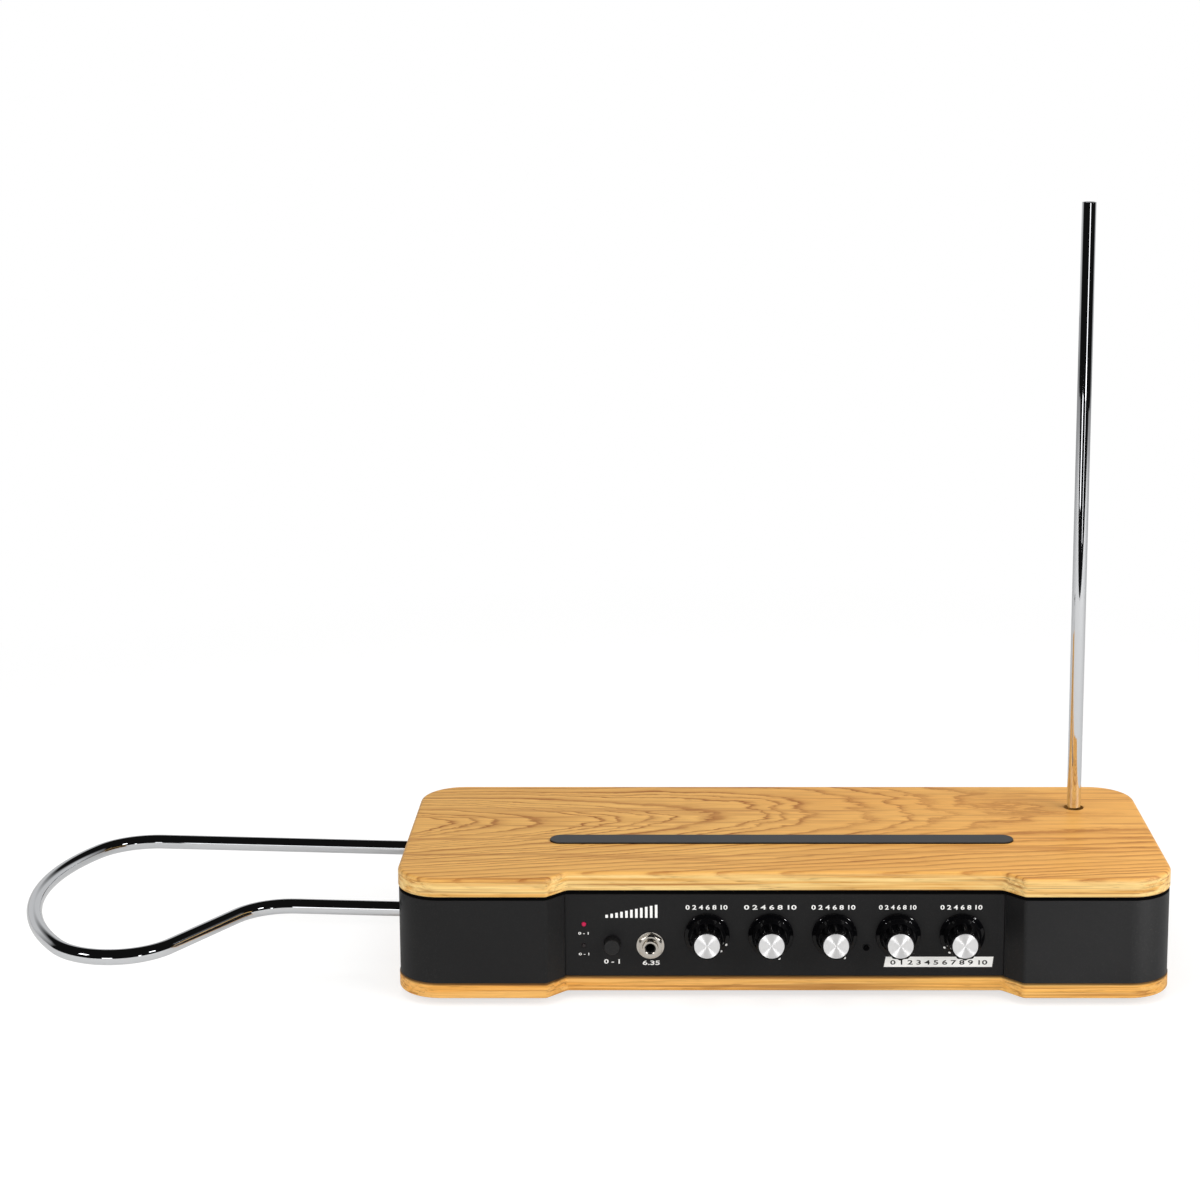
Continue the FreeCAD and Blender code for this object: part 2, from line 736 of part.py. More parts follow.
def make_mute_button():
    cap_end = panel_back + button_behind
    cap = rod(button_radius, button_reach + panel_thickness + button_behind,
              (mute_button_x, cap_end, mute_button_z), OUT_FRONT)
    cap = cap.makeFillet(button_edge, front_rim(cap, panel_face - button_reach))
    stem = rod(button_stem_radius, button_stem_length, (mute_button_x, cap_end, mute_button_z), OUT_REAR)
    save("mute_button", join(cap, stem))
    half = switch_size / 2
    switch_front = panel_back + switch_front_gap
    housing = box(mute_button_x - half, mute_button_x + half, switch_front, control_board_y,
                  mute_button_z - half, mute_button_z + half)
    bore_end = cap_end + button_stem_length + button_travel + switch_bore_spare
    housing = housing.cut(rod(button_stem_radius + button_stem_fit, bore_end - switch_front,
                              (mute_button_x, switch_front, mute_button_z), OUT_REAR))
    save("mute_switch", housing)


def make_lamps():
    for name, z in (("power_led", power_led_z), ("mute_led", mute_led_z)):
        flange_y = panel_back + led_flange_gap
        lens_length = led_reach + panel_thickness + led_flange_gap
        lens = rod(led_radius, lens_length, (led_x, flange_y, z), OUT_FRONT)
        lens = lens.makeFillet(led_dome_radius, front_rim(lens, panel_face - led_reach))
        flange = rod(led_flange_radius, led_flange_thickness, (led_x, flange_y, z), OUT_REAR)
        half = led_leg / 2
        leg_y = flange_y + led_flange_thickness / 2
        legs = [box(x - half, x + half, leg_y, control_board_y, z - half, z + half)
                for x in (led_x - led_leg_spacing, led_x + led_leg_spacing)]
        save(name, join(lens, flange, *legs))


def make_panel_screw():
    seat = (panel_screw_x, panel_face, panel_screw_z)
    head = rod(panel_screw_head_radius, panel_screw_head_height, seat, OUT_FRONT)
    screw = join(head, rod(panel_screw_radius, control_board_gap + panel_thickness, seat, OUT_REAR))
    for wide, high in (panel_screw_cross, panel_screw_cross[::-1]):
        screw = screw.cut(box(panel_screw_x - wide / 2, panel_screw_x + wide / 2,
                              panel_face - panel_screw_head_height, panel_face - panel_screw_cross_floor,
                              panel_screw_z - high / 2, panel_screw_z + high / 2))
    save("panel_screw", screw)


def big_jack(x, z, face, direction):
    """Quarter-inch socket: body behind the panel, with its washer and nut in front."""
    sign = direction[1]
    mouth = face + sign * jack_reach
    back = face - sign * panel_thickness
    low, high = sorted((back, back - sign * jack_body_depth))
    body = box(x - jack_body_width / 2, x + jack_body_width / 2, low, high,
               z - jack_body_height / 2, z + jack_body_height / 2)
    bushing_length = jack_reach + panel_thickness + jack_bushing_root
    bushing = rod(jack_bushing_radius, bushing_length, (x, back - sign * jack_bushing_root, z), direction)
    inward = (0, -sign, 0)
    bore = rod(jack_bore_radius, jack_bore_length, (x, mouth, z), inward)
    mouth_cone = Part.makeCone(jack_bore_radius + jack_mouth_chamfer, jack_bore_radius,
                               jack_mouth_chamfer, Vector(x, mouth, z), Vector(*inward))
    jack = join(body, bushing).cut(bore).cut(mouth_cone)
    washer = tube(jack_washer_radius, jack_bushing_radius, jack_washer_thickness, (x, face, z), direction)
    seat = (x, face + sign * jack_washer_thickness, z)
    ring_nut = nut(jack_nut_flats, jack_bushing_radius, jack_nut_thickness, seat, direction, 30)
    return jack, washer, ring_nut


def make_jacks():
    jack, washer, ring_nut = big_jack(phones_jack_x, phones_jack_z, panel_face, OUT_FRONT)
    save("phones_jack", jack)
    save("phones_jack_washer", washer)
    save("phones_jack_nut", ring_nut)
    rear = [big_jack(x, rear_row_z, rear_face, OUT_REAR) for x in output_jack_x]
    save("output_jacks", *[item[0] for item in rear])
    save("output_jack_nuts", *[item[1].fuse(item[2]).removeSplitter() for item in rear])
    solids = []
    for x in cv_jack_x:
        half = cv_body_width / 2
        body = box(x - half, x + half, rear_back - cv_body_depth, rear_back, rear_row_z - half,
                   rear_row_z + half)
        bushing = rod(cv_bushing_radius, cv_reach + panel_thickness, (x, rear_back, rear_row_z), OUT_REAR)
        bore = rod(cv_bore_radius, cv_bore_length, (x, rear_face + cv_reach, rear_row_z), OUT_FRONT)
        solids.append(join(body, bushing).cut(bore))
        solids.append(tube(cv_nut_radius, cv_bushing_radius, cv_nut_thickness, (x, rear_face, rear_row_z),
                           OUT_REAR))
    save("cv_jacks", *solids)


def make_dc_inlet():
    base = (dc_inlet_x, rear_face + dc_flange_thickness, rear_row_z)
    flange = rod(dc_flange_radius, dc_flange_thickness, base, OUT_FRONT)
    body = rod(dc_body_radius, dc_body_depth, base, OUT_FRONT)
    inlet = join(flange, body).cut(rod(dc_bore_radius, dc_bore_depth, base, OUT_FRONT))
    pin = rod(dc_pin_radius, dc_bore_depth, (dc_inlet_x, base[1] - dc_pin_setback, rear_row_z), OUT_FRONT)
    save("dc_inlet", join(inlet, pin))


def switch_outside():
    half_width = rocker_half_width + rocker_side_clearance + switch_wall
    half_height = rocker_half_height + rocker_end_clearance + switch_wall
    return half_width, half_height


def make_power_switch():
    x, z = power_switch_x, rear_row_z
    half_width, half_height = switch_outside()
    open_x = half_width - switch_wall
    open_z = half_height - switch_wall
    body = box(x - half_width, x + half_width, rear_face - switch_body_depth, rear_face,
               z - half_height, z + half_height)
    bezel = box(x - half_width - switch_bezel_overlap, x + half_width + switch_bezel_overlap, rear_face,
                rear_face + switch_bezel_thickness, z - half_height - switch_bezel_overlap,
                z + half_height + switch_bezel_overlap)
    cavity = box(x - open_x, x + open_x, rear_face - switch_cavity_depth,
                 rear_face + switch_bezel_thickness, z - open_z, z + open_z)
    pivot_y = rear_face - rocker_pivot_depth
    pin_reach = rocker_half_width + rocker_pin_length
    holes = rod(rocker_pin_radius + rocker_pin_fit, 2 * (pin_reach + rocker_pin_fit),
                (x - pin_reach - rocker_pin_fit, pivot_y, z), (1, 0, 0))
    save("power_switch", join(body, bezel).cut(cavity).cut(holes))
    slope = math.tan(math.radians(rocker_face_angle))
    ends = rocker_rise + rocker_half_height * slope
    cheek = rocker_half_height - rocker_cheek_inset
    outline = [(ends, rocker_half_height), (rocker_rise, 0), (ends, -rocker_half_height),
               (-rocker_cheek_depth, -cheek), (-rocker_root_depth, -rocker_root_half_height),
               (-rocker_root_depth, rocker_root_half_height), (-rocker_cheek_depth, cheek)]
    points = [Vector(x - rocker_half_width, pivot_y + out, z + up) for out, up in outline]
    rocker = Part.Face(Part.makePolygon(points + points[:1])).extrude(Vector(2 * rocker_half_width, 0, 0))
    pin = rod(rocker_pin_radius, 2 * pin_reach, (x - pin_reach, pivot_y, z), (1, 0, 0))
    rocker = join(rocker, pin)
    rocker.rotate(Vector(x, pivot_y, z), Vector(1, 0, 0), rocker_face_angle)
    save("power_rocker", rocker)


# ---- antennas ----
def make_pitch_antenna():
    x, y = pitch_antenna_x, pitch_antenna_y
    save("pitch_antenna", tube(tube_radius, tube_radius - tube_wall, pitch_antenna_length,
                               (x, y, pitch_antenna_foot)))
    bottom = pitch_antenna_foot - socket_floor
    seat = z_ceiling - pitch_flange_thickness
    sleeve = rod(socket_radius, z_ceiling - bottom, (x, y, bottom))
    flange = rod(pitch_flange_radius, pitch_flange_thickness, (x, y, seat))
    bore = rod(socket_bore, z_ceiling - pitch_antenna_foot, (x, y, pitch_antenna_foot))
    socket = join(sleeve, flange).cut(bore)
    screws = []
    for sx, sy in pitch_screw_places():
        socket = socket.cut(rod(wood_screw_radius, pitch_flange_thickness, (sx, sy, seat)))
        screws.append(pan_screw((sx, sy, seat), pitch_flange_thickness + wood_screw_bite,
                                wood_screw_radius, wood_screw_head_radius, wood_screw_head_height))
    save("pitch_antenna_socket", socket)
    save("pitch_socket_screws", *screws)


def loop_path():
    """Centre line of the volume antenna in its own level plane, rear leg first."""
    edges = []
    place = Vector(left_side + volume_antenna_engaged, volume_leg_y, volume_antenna_height)
    heading = math.pi

    def straight(length):
        nonlocal place
        end = place + Vector(math.cos(heading), math.sin(heading), 0) * length
        edges.append(Part.makeLine(place, end))
        place = end

    def bend(radius, degrees):
        nonlocal place, heading
        turn = math.radians(degrees)
        side = 1 if degrees > 0 else -1
        normal = Vector(-math.sin(heading), math.cos(heading), 0) * side
        centre = place + normal * radius

        def on_arc(share):
            angle = heading - side * math.pi / 2 + turn * share
            return centre + Vector(math.cos(angle), math.sin(angle), 0) * radius

        middle, end = on_arc(0.5), on_arc(1)
        edges.append(Part.Arc(place, middle, end).toShape())
        place = end
        heading += turn

    straight(volume_antenna_engaged + rear_leg_outside)
    bend(*rear_bend)
    bend(*left_bend)
    bend(*front_bend)
    back = rear_bend[1] + left_bend[1] + front_bend[1] - 180
    drop = -volume_leg_y - place.y - return_bend_radius * (1 - math.cos(math.radians(back)))
    straight(drop / math.sin(math.radians(back)))
    bend(return_bend_radius, -back)
    straight(left_side + volume_antenna_engaged - place.x)
    return Part.Wire(edges)


def swept(path, radius):
    start = path.Edges[0]
    profile = Part.Wire(Part.makeCircle(radius, start.valueAt(start.FirstParameter),
                                        start.tangentAt(start.FirstParameter)))
    return path.makePipeShell([profile], True, False)


def tilted(shape):
    """Turn a shape of the volume antenna's level plane to its real tilt."""
    pivot = Vector(left_side, 0, volume_antenna_height)
    turned = shape.copy()
    turned.rotate(pivot, Vector(0, 1, 0), volume_antenna_tilt)
    return turned


def bracket_screw_places():
    inner = left_side + wall_inset + wall_thickness + bracket_thickness
    return [(inner + bracket_foot / 2, y) for y in (-bracket_half_width / 2, bracket_half_width / 2)]


def make_volume_antenna():
    path = loop_path()
    loop = swept(path, tube_radius).cut(swept(path, tube_radius - tube_wall))
    expected = math.pi * (tube_radius ** 2 - (tube_radius - tube_wall) ** 2) * path.Length
    print("volume antenna: length %.1f, volume %.0f of %.0f" % (path.Length, loop.Volume, expected))
    save("volume_antenna", tilted(loop))

    wall_inner = left_side + wall_inset + wall_thickness
    face = wall_inner + bracket_thickness
    floor_x = left_side + volume_antenna_engaged
    sleeves = []
    plate = box(wall_inner, face, -bracket_half_width, bracket_half_width, z_wall, bracket_top)
    for y in (-volume_leg_y, volume_leg_y):
        mouth = (wall_inner, y, volume_antenna_height)
        sleeve = rod(socket_radius, floor_x + socket_floor - wall_inner, mouth, INWARDS)
        bore = rod(socket_bore, floor_x - wall_inner, mouth, INWARDS)
        trim = box(wall_inner - socket_radius, face, y - 2 * socket_radius, y + 2 * socket_radius,
                   z_wall, z_top)
        sleeves.append(tilted(sleeve.cut(bore)).cut(trim))
        plate = plate.cut(rod(volume_hole_radius, bracket_thickness, mouth, INWARDS))
    foot = box(wall_inner, face + bracket_foot, -bracket_half_width, bracket_half_width, z_wall,
               z_wall + bracket_thickness)
    bracket = join(plate, foot)
    for x, y in bracket_screw_places():
        bracket = bracket.cut(rod(board_screw_radius, bracket_thickness, (x, y, z_wall)))
    save("volume_antenna_sockets", *sleeves)
    save("volume_antenna_bracket", bracket)


# ---- boards and wiring ----
def standoff_places():
    return [(x, y) for x in (main_board_x[0] + standoff_inset, main_board_x[1] - standoff_inset)
            for y in (main_board_y[0] + standoff_inset, main_board_y[1] - standoff_inset)]


def make_boards():
    board = box(*main_board_x, *main_board_y, board_z, board_top)
    for x, y in standoff_places():
        board = board.cut(rod(board_screw_radius, board_thickness, (x, y, board_z)))
    save("main_board", board)

    low = z_wall + control_board_margin
    high = wall_top - control_board_margin
    back = control_board_back
    control = box(control_board_left, control_board_right, control_board_y, back, low, high)
    notch = jack_body_width / 2 + control_board_notch_gap
    control = control.cut(box(phones_jack_x - notch, phones_jack_x + notch, control_board_y, back, low,
                              phones_jack_z + jack_body_height / 2 + control_board_notch_gap))
    save("control_board", control)

    spacers = []
    screws = []
    for x, y in standoff_places():
        spacer = hexagon(standoff_flats, standoff_height, (x, y, z_wall))
        stud = rod(board_screw_radius, wood_screw_bite, (x, y, z_wall - wood_screw_bite))
        bore = rod(board_screw_radius, standoff_screw_grip, (x, y, board_z - standoff_screw_grip))
        spacers.append(join(spacer, stud).cut(bore))
        screws.append(board_screw((x, y, board_top), board_thickness + standoff_screw_grip))
    spacers.append(tube(standoff_flats / 2, panel_screw_radius, control_board_gap,
                        (panel_screw_x, panel_back, panel_screw_z), OUT_REAR))
    seat = z_wall + bracket_thickness
    for x, y in bracket_screw_places():
        screws.append(board_screw((x, y, seat), bracket_thickness + wood_screw_bite))
    save("board_standoffs", *spacers)
    save("board_screws", *screws)


def board_screw(seat, length):
    return pan_screw(seat, length, board_screw_radius, board_screw_head_radius,
                     board_screw_head_height, DOWN)


def make_components():
    top = board_top + coil_height
    lower = board_top + coil_flange_thickness
    upper = top - coil_flange_thickness
    outline = [(0, board_top), (coil_bobbin_radius, board_top), (coil_bobbin_radius, lower),
               (coil_radius, lower), (coil_radius, upper), (coil_bobbin_radius, upper),
               (coil_bobbin_radius, top), (0, top)]
    save("oscillator_coils", *[revolved(outline, (x, coil_y, 0)) for x in pitch_coil_x + volume_coil_x])

    parts = []
    front_row = main_board_y[0] + front_row_gap
    rear_row = main_board_y[1] - rear_chip_gap
    for row, chips in ((front_row, front_chips), (rear_row, rear_chips)):
        for x, wide, deep in chips:
            parts.append(box(x - wide / 2, x + wide / 2, row - deep / 2, row + deep / 2, board_top,
                             board_top + chip_height))
    for x in capacitor_x:
        parts.append(rod(capacitor_radius, capacitor_height, (x, front_row, board_top)))
    left, right = header_x - header_width / 2, header_x + header_width / 2
    front = main_board_y[0] + header_edge_gap
    middle = board_top + header_height / 2
    parts.append(box(left, right, front, front + header_depth, board_top, board_top + header_height))
    parts.append(box(left, right, control_board_back, control_board_back + header_height,
                     middle - header_depth / 2, middle + header_depth / 2))
    save("board_components", *parts)


def bent_wire(points, bend):
    """Straight runs through the points, joined by tangent arcs."""
    points = [Vector(*point) for point in points]
    edges = []
    place = points[0]
    for before, corner, after in zip(points, points[1:], points[2:]):
        into = (before - corner).normalize()
        out = (after - corner).normalize()
        half_angle = into.getAngle(out) / 2
        reach = bend / math.tan(half_angle)
        middle = (into + out).normalize() * (bend / math.sin(half_angle) - bend)
        edges.append(Part.makeLine(place, corner + into * reach))
        edges.append(Part.Arc(corner + into * reach, corner + middle, corner + out * reach).toShape())
        place = corner + out * reach
    edges.append(Part.makeLine(place, points[-1]))
    return Part.Wire(edges)


def make_ribbon():
    left = header_x - header_width / 2 + ribbon_margin
    right = header_x + header_width / 2 - ribbon_margin
    half = ribbon_thickness / 2
    plug_z = board_top + header_height / 2
    header_top = board_top + header_height
    crest = header_top + ribbon_rise
    start = control_board_back + header_height
    climb_y = start + ribbon_reach
    drop_y = main_board_y[0] + header_edge_gap + header_depth / 2
    save("ribbon_cable", join(
        box(left, right, start, climb_y + ribbon_thickness, plug_z - half, plug_z + half),
        box(left, right, climb_y, climb_y + ribbon_thickness, plug_z - half, crest),
        box(left, right, climb_y, drop_y + half, crest - ribbon_thickness, crest),
        box(left, right, drop_y - half, drop_y + half, header_top, crest)))


def make_leads():
    """A wire from the main board to each antenna's socket."""
    top = board_top + lead_rise
    x, gap = pitch_lead_start
    y = main_board_y[1] - gap
    socket_z = pitch_antenna_foot - socket_floor
    pitch_route = [(x, y, board_top), (x, y, top),
                   (pitch_antenna_x, pitch_antenna_y, socket_z - lead_climb),
                   (pitch_antenna_x, pitch_antenna_y, socket_z)]
    slope = math.tan(math.radians(volume_antenna_tilt))
    socket_end = left_side + volume_antenna_engaged + socket_floor
    socket_z = volume_antenna_height - (socket_end - left_side) * slope
    leg = volume_leg_y
    x, gap = volume_lead_start
    y = main_board_y[1] - gap
    volume_route = [(x, y, board_top), (x, y, top), (socket_end + lead_approach, leg, socket_z),
                    (socket_end, leg, socket_z)]
    save("antenna_leads", *[swept(bent_wire(route, lead_bend), lead_radius)
                            for route in (pitch_route, volume_route)])


make_top_plate()
make_bottom_plate()
make_posts()
make_feet()
make_stand_flange()
make_end_walls()
make_front_panel()
make_rear_panel()
make_panel_stud_nuts()
make_knobs()
make_mute_button()
make_lamps()
make_panel_screw()
make_jacks()
make_dc_inlet()
make_power_switch()
make_pitch_antenna()
make_volume_antenna()
make_boards()
make_components()
make_ribbon()
make_leads()
print("parts written:", len([name for name in os.listdir("parts") if name.endswith(".step")]))
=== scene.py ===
import json
import math

import bmesh
import bpy
from mathutils import Matrix, Vector

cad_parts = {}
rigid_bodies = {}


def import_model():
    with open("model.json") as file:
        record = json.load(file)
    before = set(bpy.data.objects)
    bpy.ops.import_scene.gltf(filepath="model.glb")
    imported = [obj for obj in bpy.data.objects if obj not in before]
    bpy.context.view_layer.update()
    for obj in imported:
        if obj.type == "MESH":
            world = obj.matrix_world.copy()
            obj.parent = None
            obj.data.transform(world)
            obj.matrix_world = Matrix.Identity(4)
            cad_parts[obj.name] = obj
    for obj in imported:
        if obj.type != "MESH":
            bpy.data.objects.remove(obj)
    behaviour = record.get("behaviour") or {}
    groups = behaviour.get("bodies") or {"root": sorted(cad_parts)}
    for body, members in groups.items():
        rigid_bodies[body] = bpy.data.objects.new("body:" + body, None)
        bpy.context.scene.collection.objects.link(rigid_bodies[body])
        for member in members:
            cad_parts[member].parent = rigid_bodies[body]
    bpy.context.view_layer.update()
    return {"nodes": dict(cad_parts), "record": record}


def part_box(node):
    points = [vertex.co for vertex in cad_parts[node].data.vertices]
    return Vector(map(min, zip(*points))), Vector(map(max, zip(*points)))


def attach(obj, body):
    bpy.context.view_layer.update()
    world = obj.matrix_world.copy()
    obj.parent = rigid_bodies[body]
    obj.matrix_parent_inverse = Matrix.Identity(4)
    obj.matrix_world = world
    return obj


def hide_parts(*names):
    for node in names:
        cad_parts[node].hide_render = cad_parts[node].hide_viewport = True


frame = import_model()
nodes = frame["nodes"]
scene = bpy.context.scene
mm = 0.001
print("frame loaded:", len(nodes), "nodes")


# a node's corners and middle at rest, in millimetres
def lowest(node):
    return Vector(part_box(node)[0]) / mm


def highest(node):
    return Vector(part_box(node)[1]) / mm


def middle(node):
    return (lowest(node) + highest(node)) / 2


panelFace = lowest("front_panel").y
rearFace = highest("rear_panel").y


# the camera
cameraView = {
    "place": (-56.54 * mm, -1567.18 * mm, 614.06 * mm),
    "tilt": 9.33,             # degrees below level
    "lens": 73.35,
    "sensor": 36.0,
    "shift": (-0.08, -0.15),
}


def makeCamera():
    data = bpy.data.cameras.new("studioCamera")
    data.lens = cameraView["lens"]
    data.sensor_width = cameraView["sensor"]
    data.shift_x, data.shift_y = cameraView["shift"]
    camera = bpy.data.objects.new("studioCamera", data)
    camera.location = cameraView["place"]
    camera.rotation_euler = (math.radians(90 - cameraView["tilt"]), 0, 0)
    scene.collection.objects.link(camera)
    scene.camera = camera


makeCamera()
scene.view_settings.view_transform = "Standard"
print("camera set")


# small tools for node trees
class Wire:
    # a value in a node tree; a sign after it adds a math node
    def __init__(self, socket):
        self.socket, self.tree = socket, socket.id_data

    def __add__(self, other):
        return calc("ADD", self, other)

    def __sub__(self, other):
        return calc("SUBTRACT", self, other)

    def __mul__(self, other):
        return calc("MULTIPLY", self, other)

    def __truediv__(self, other):
        return calc("DIVIDE", self, other)

    def __rtruediv__(self, other):
        return calc("DIVIDE", other, self)

    def __pow__(self, other):
        return calc("POWER", self, other)


def feed(socket, value):
    if isinstance(value, Wire):
        socket.id_data.links.new(value.socket, socket)
    else:
        socket.default_value = value


def put(tree, kind, inputs=None, **settings):
    # adds a node; inputs go by name or number, as a plain value or a wire
    node = tree.nodes.new(kind)
    for name, value in settings.items():
        setattr(node, name, value)
    for name, value in (inputs or {}).items():
        feed(node.inputs[name], value)
    return node


def made(tree, kind, inputs=None, out=0, **settings):
    # adds a node and hands back one of its outputs
    return Wire(put(tree, kind, inputs, **settings).outputs[out])


def wires(node):
    # a node's outputs by name
    return {socket.name: Wire(socket) for socket in node.outputs}


def treeOf(*values):
    return next(value.tree for value in values if isinstance(value, Wire))


def calc(operation, *values):
    return made(treeOf(*values), "ShaderNodeMath", dict(enumerate(values)), operation=operation)


def timesPlus(first, second, more):
    return calc("MULTIPLY_ADD", first, second, more)


def joined(x=0.0, y=0.0, z=0.0):
    return made(treeOf(x, y, z), "ShaderNodeCombineXYZ", {0: x, 1: y, 2: z})


def apart(vector):
    return list(wires(put(vector.tree, "ShaderNodeSeparateXYZ", {0: vector})).values())


def speckle(vector, scale, detail, rough=0.5):
    return made(vector.tree, "ShaderNodeTexNoise",
                {"Vector": vector, "Scale": scale, "Detail": detail, "Roughness": rough})


def grain(vector, scales, detail, rough, shift=(0, 0, 0)):
    # a noise with its own scale along each axis
    spread = {"Vector": vector, "Scale": scales, "Location": shift}
    return speckle(made(vector.tree, "ShaderNodeMapping", spread), 1.0, detail, rough)


def between(value, fromLow, fromHigh, toLow=0.0, toHigh=1.0):
    return made(value.tree, "ShaderNodeMapRange",
                {"Value": value, "From Min": fromLow, "From Max": fromHigh,
                 "To Min": toLow, "To Max": toHigh})


def blendColour(amount, first, second, mode="MIX"):
    return made(treeOf(amount, first, second), "ShaderNodeMix",
                {"Factor": amount, 6: first, 7: second}, 2, data_type="RGBA", blend_type=mode)


def grey(level):
    return (level, level, level, 1)


def greyed(value):
    # a grey whose level changes over the surface
    return made(value.tree, "ShaderNodeCombineColor", {0: value, 1: value, 2: value})


def colour(red, green, blue):
    # a colour written as it looks on screen, 0 to 255
    def linear(value):
        share = value / 255
        return share / 12.92 if share <= 0.04045 else ((share + 0.055) / 1.055) ** 2.4
    return (linear(red), linear(green), linear(blue), 1.0)


socketKinds = {float: "Float", int: "Int", tuple: "Vector"}
treeResults = {
    "ShaderNodeTree": {"Color": "Color", "Roughness": "Float", "Height": "Float"},
    "GeometryNodeTree": {"Geometry": "Geometry"},
}


def newGroup(name, kind, inputs):
    # a node group with named inputs, each with its value, or with its kind where it has none
    tree = bpy.data.node_groups.new(name, kind)

    def add(label, direction, socketKind):
        return tree.interface.new_socket(name=label, in_out=direction,
                                         socket_type="NodeSocket" + socketKind)

    for label, value in inputs.items():
        if isinstance(value, str):
            add(label, "INPUT", value)
        else:
            add(label, "INPUT", socketKinds[type(value)]).default_value = value
    for label, socketKind in treeResults[kind].items():
        add(label, "OUTPUT", socketKind)
    given = wires(tree.nodes.new("NodeGroupInput"))
    return tree, given, tree.nodes.new("NodeGroupOutput").inputs


# surface effects that several finishes share
figureLook = {
    # noises: scale along, across and through the board, detail, roughness, shift
    "slow": ((5.0, 13.0, 8.0), 2.0, 0.5),
    "quick": ((26.0, 75.0, 40.0), 4.0, 0.65),
    "patch": ((4.0, 38.0, 38.0), 2.0, 0.5),
    "streak": ((5.0, 260.0, 260.0), 3.0, 0.6),
    "fibre": ((16.0, 560.0, 560.0), 3.0, 0.65),
    "pore": ((75.0, 1500.0, 1500.0), 1.0, 0.5),
    "tone": ((3.0, 12.0, 12.0), 2.0, 0.5),
    # the flame noise places the edges' paler flames, partly figure and partly painted sheen
    "flame": ((6.5, 110.0, 400.0), 2.0, 0.5, (0.3, 0.1, 0.7)),
    "thread": ((6.0, 170.0, 700.0), 2.0, 0.5, (0.6, 0.4, 0.2)),
    # the stretch of a noise that counts, and what it becomes where that isn't 0 to 1
    "patchSpan": (0.34, 0.60, 0.55, 1.0), "yearSpan": (0.0, 1.0, 0.55, 1.0),
    "streakSpan": (0.52, 0.70), "fibreSpan": (0.3, 0.7), "poreSpan": (0.58, 0.70),
    "toneSpan": (0.35, 0.65), "flameSpan": (0.36, 0.56), "threadSpan": (0.50, 0.66),
    "heartWander": 2.0,               # how much more the heart wanders than the rings
    "archWidth": 0.055,               # the arches' half width over the heart
    "archEnd": (0.13, 0.06),          # where they end along the board, and how softly
    "unrest": (0.5, 0.16),            # quick wander over the heart, and everywhere
    "yearNoise": (50.0, 1.0), "yearUneven": 2.6,
    # one ring: share of the year, strength
    "ring": ((0.10, 0.90), (0.20, 0.48), (0.42, 0.14), (0.84, 0.0), (0.95, 0.42)),
    "edgeDepths": (0.0004, 0.0026),   # below the face, where the edge's own grain takes over
    "faceStreaks": 0.62, "edgeRings": 0.22, "edgeThreads": 0.6,
    "fibreTints": ((0.90, 1.07), (0.86, 1.08), (0.78, 1.12)),      # of red, green and blue
    "poresInRings": (0.85, 0.15), "poreShade": (0.05, 0.02, 0.006, 1),
    "poreDark": 0.55, "poreStrength": 0.6,
    "shadow": (0.02, 0.008, 0.001, 1), "shadowStrength": 0.88,
    "ringDull": 0.10, "roughness": (0.36, 0.44), "poreRelief": -0.7, "fibreRelief": 0.35,
}


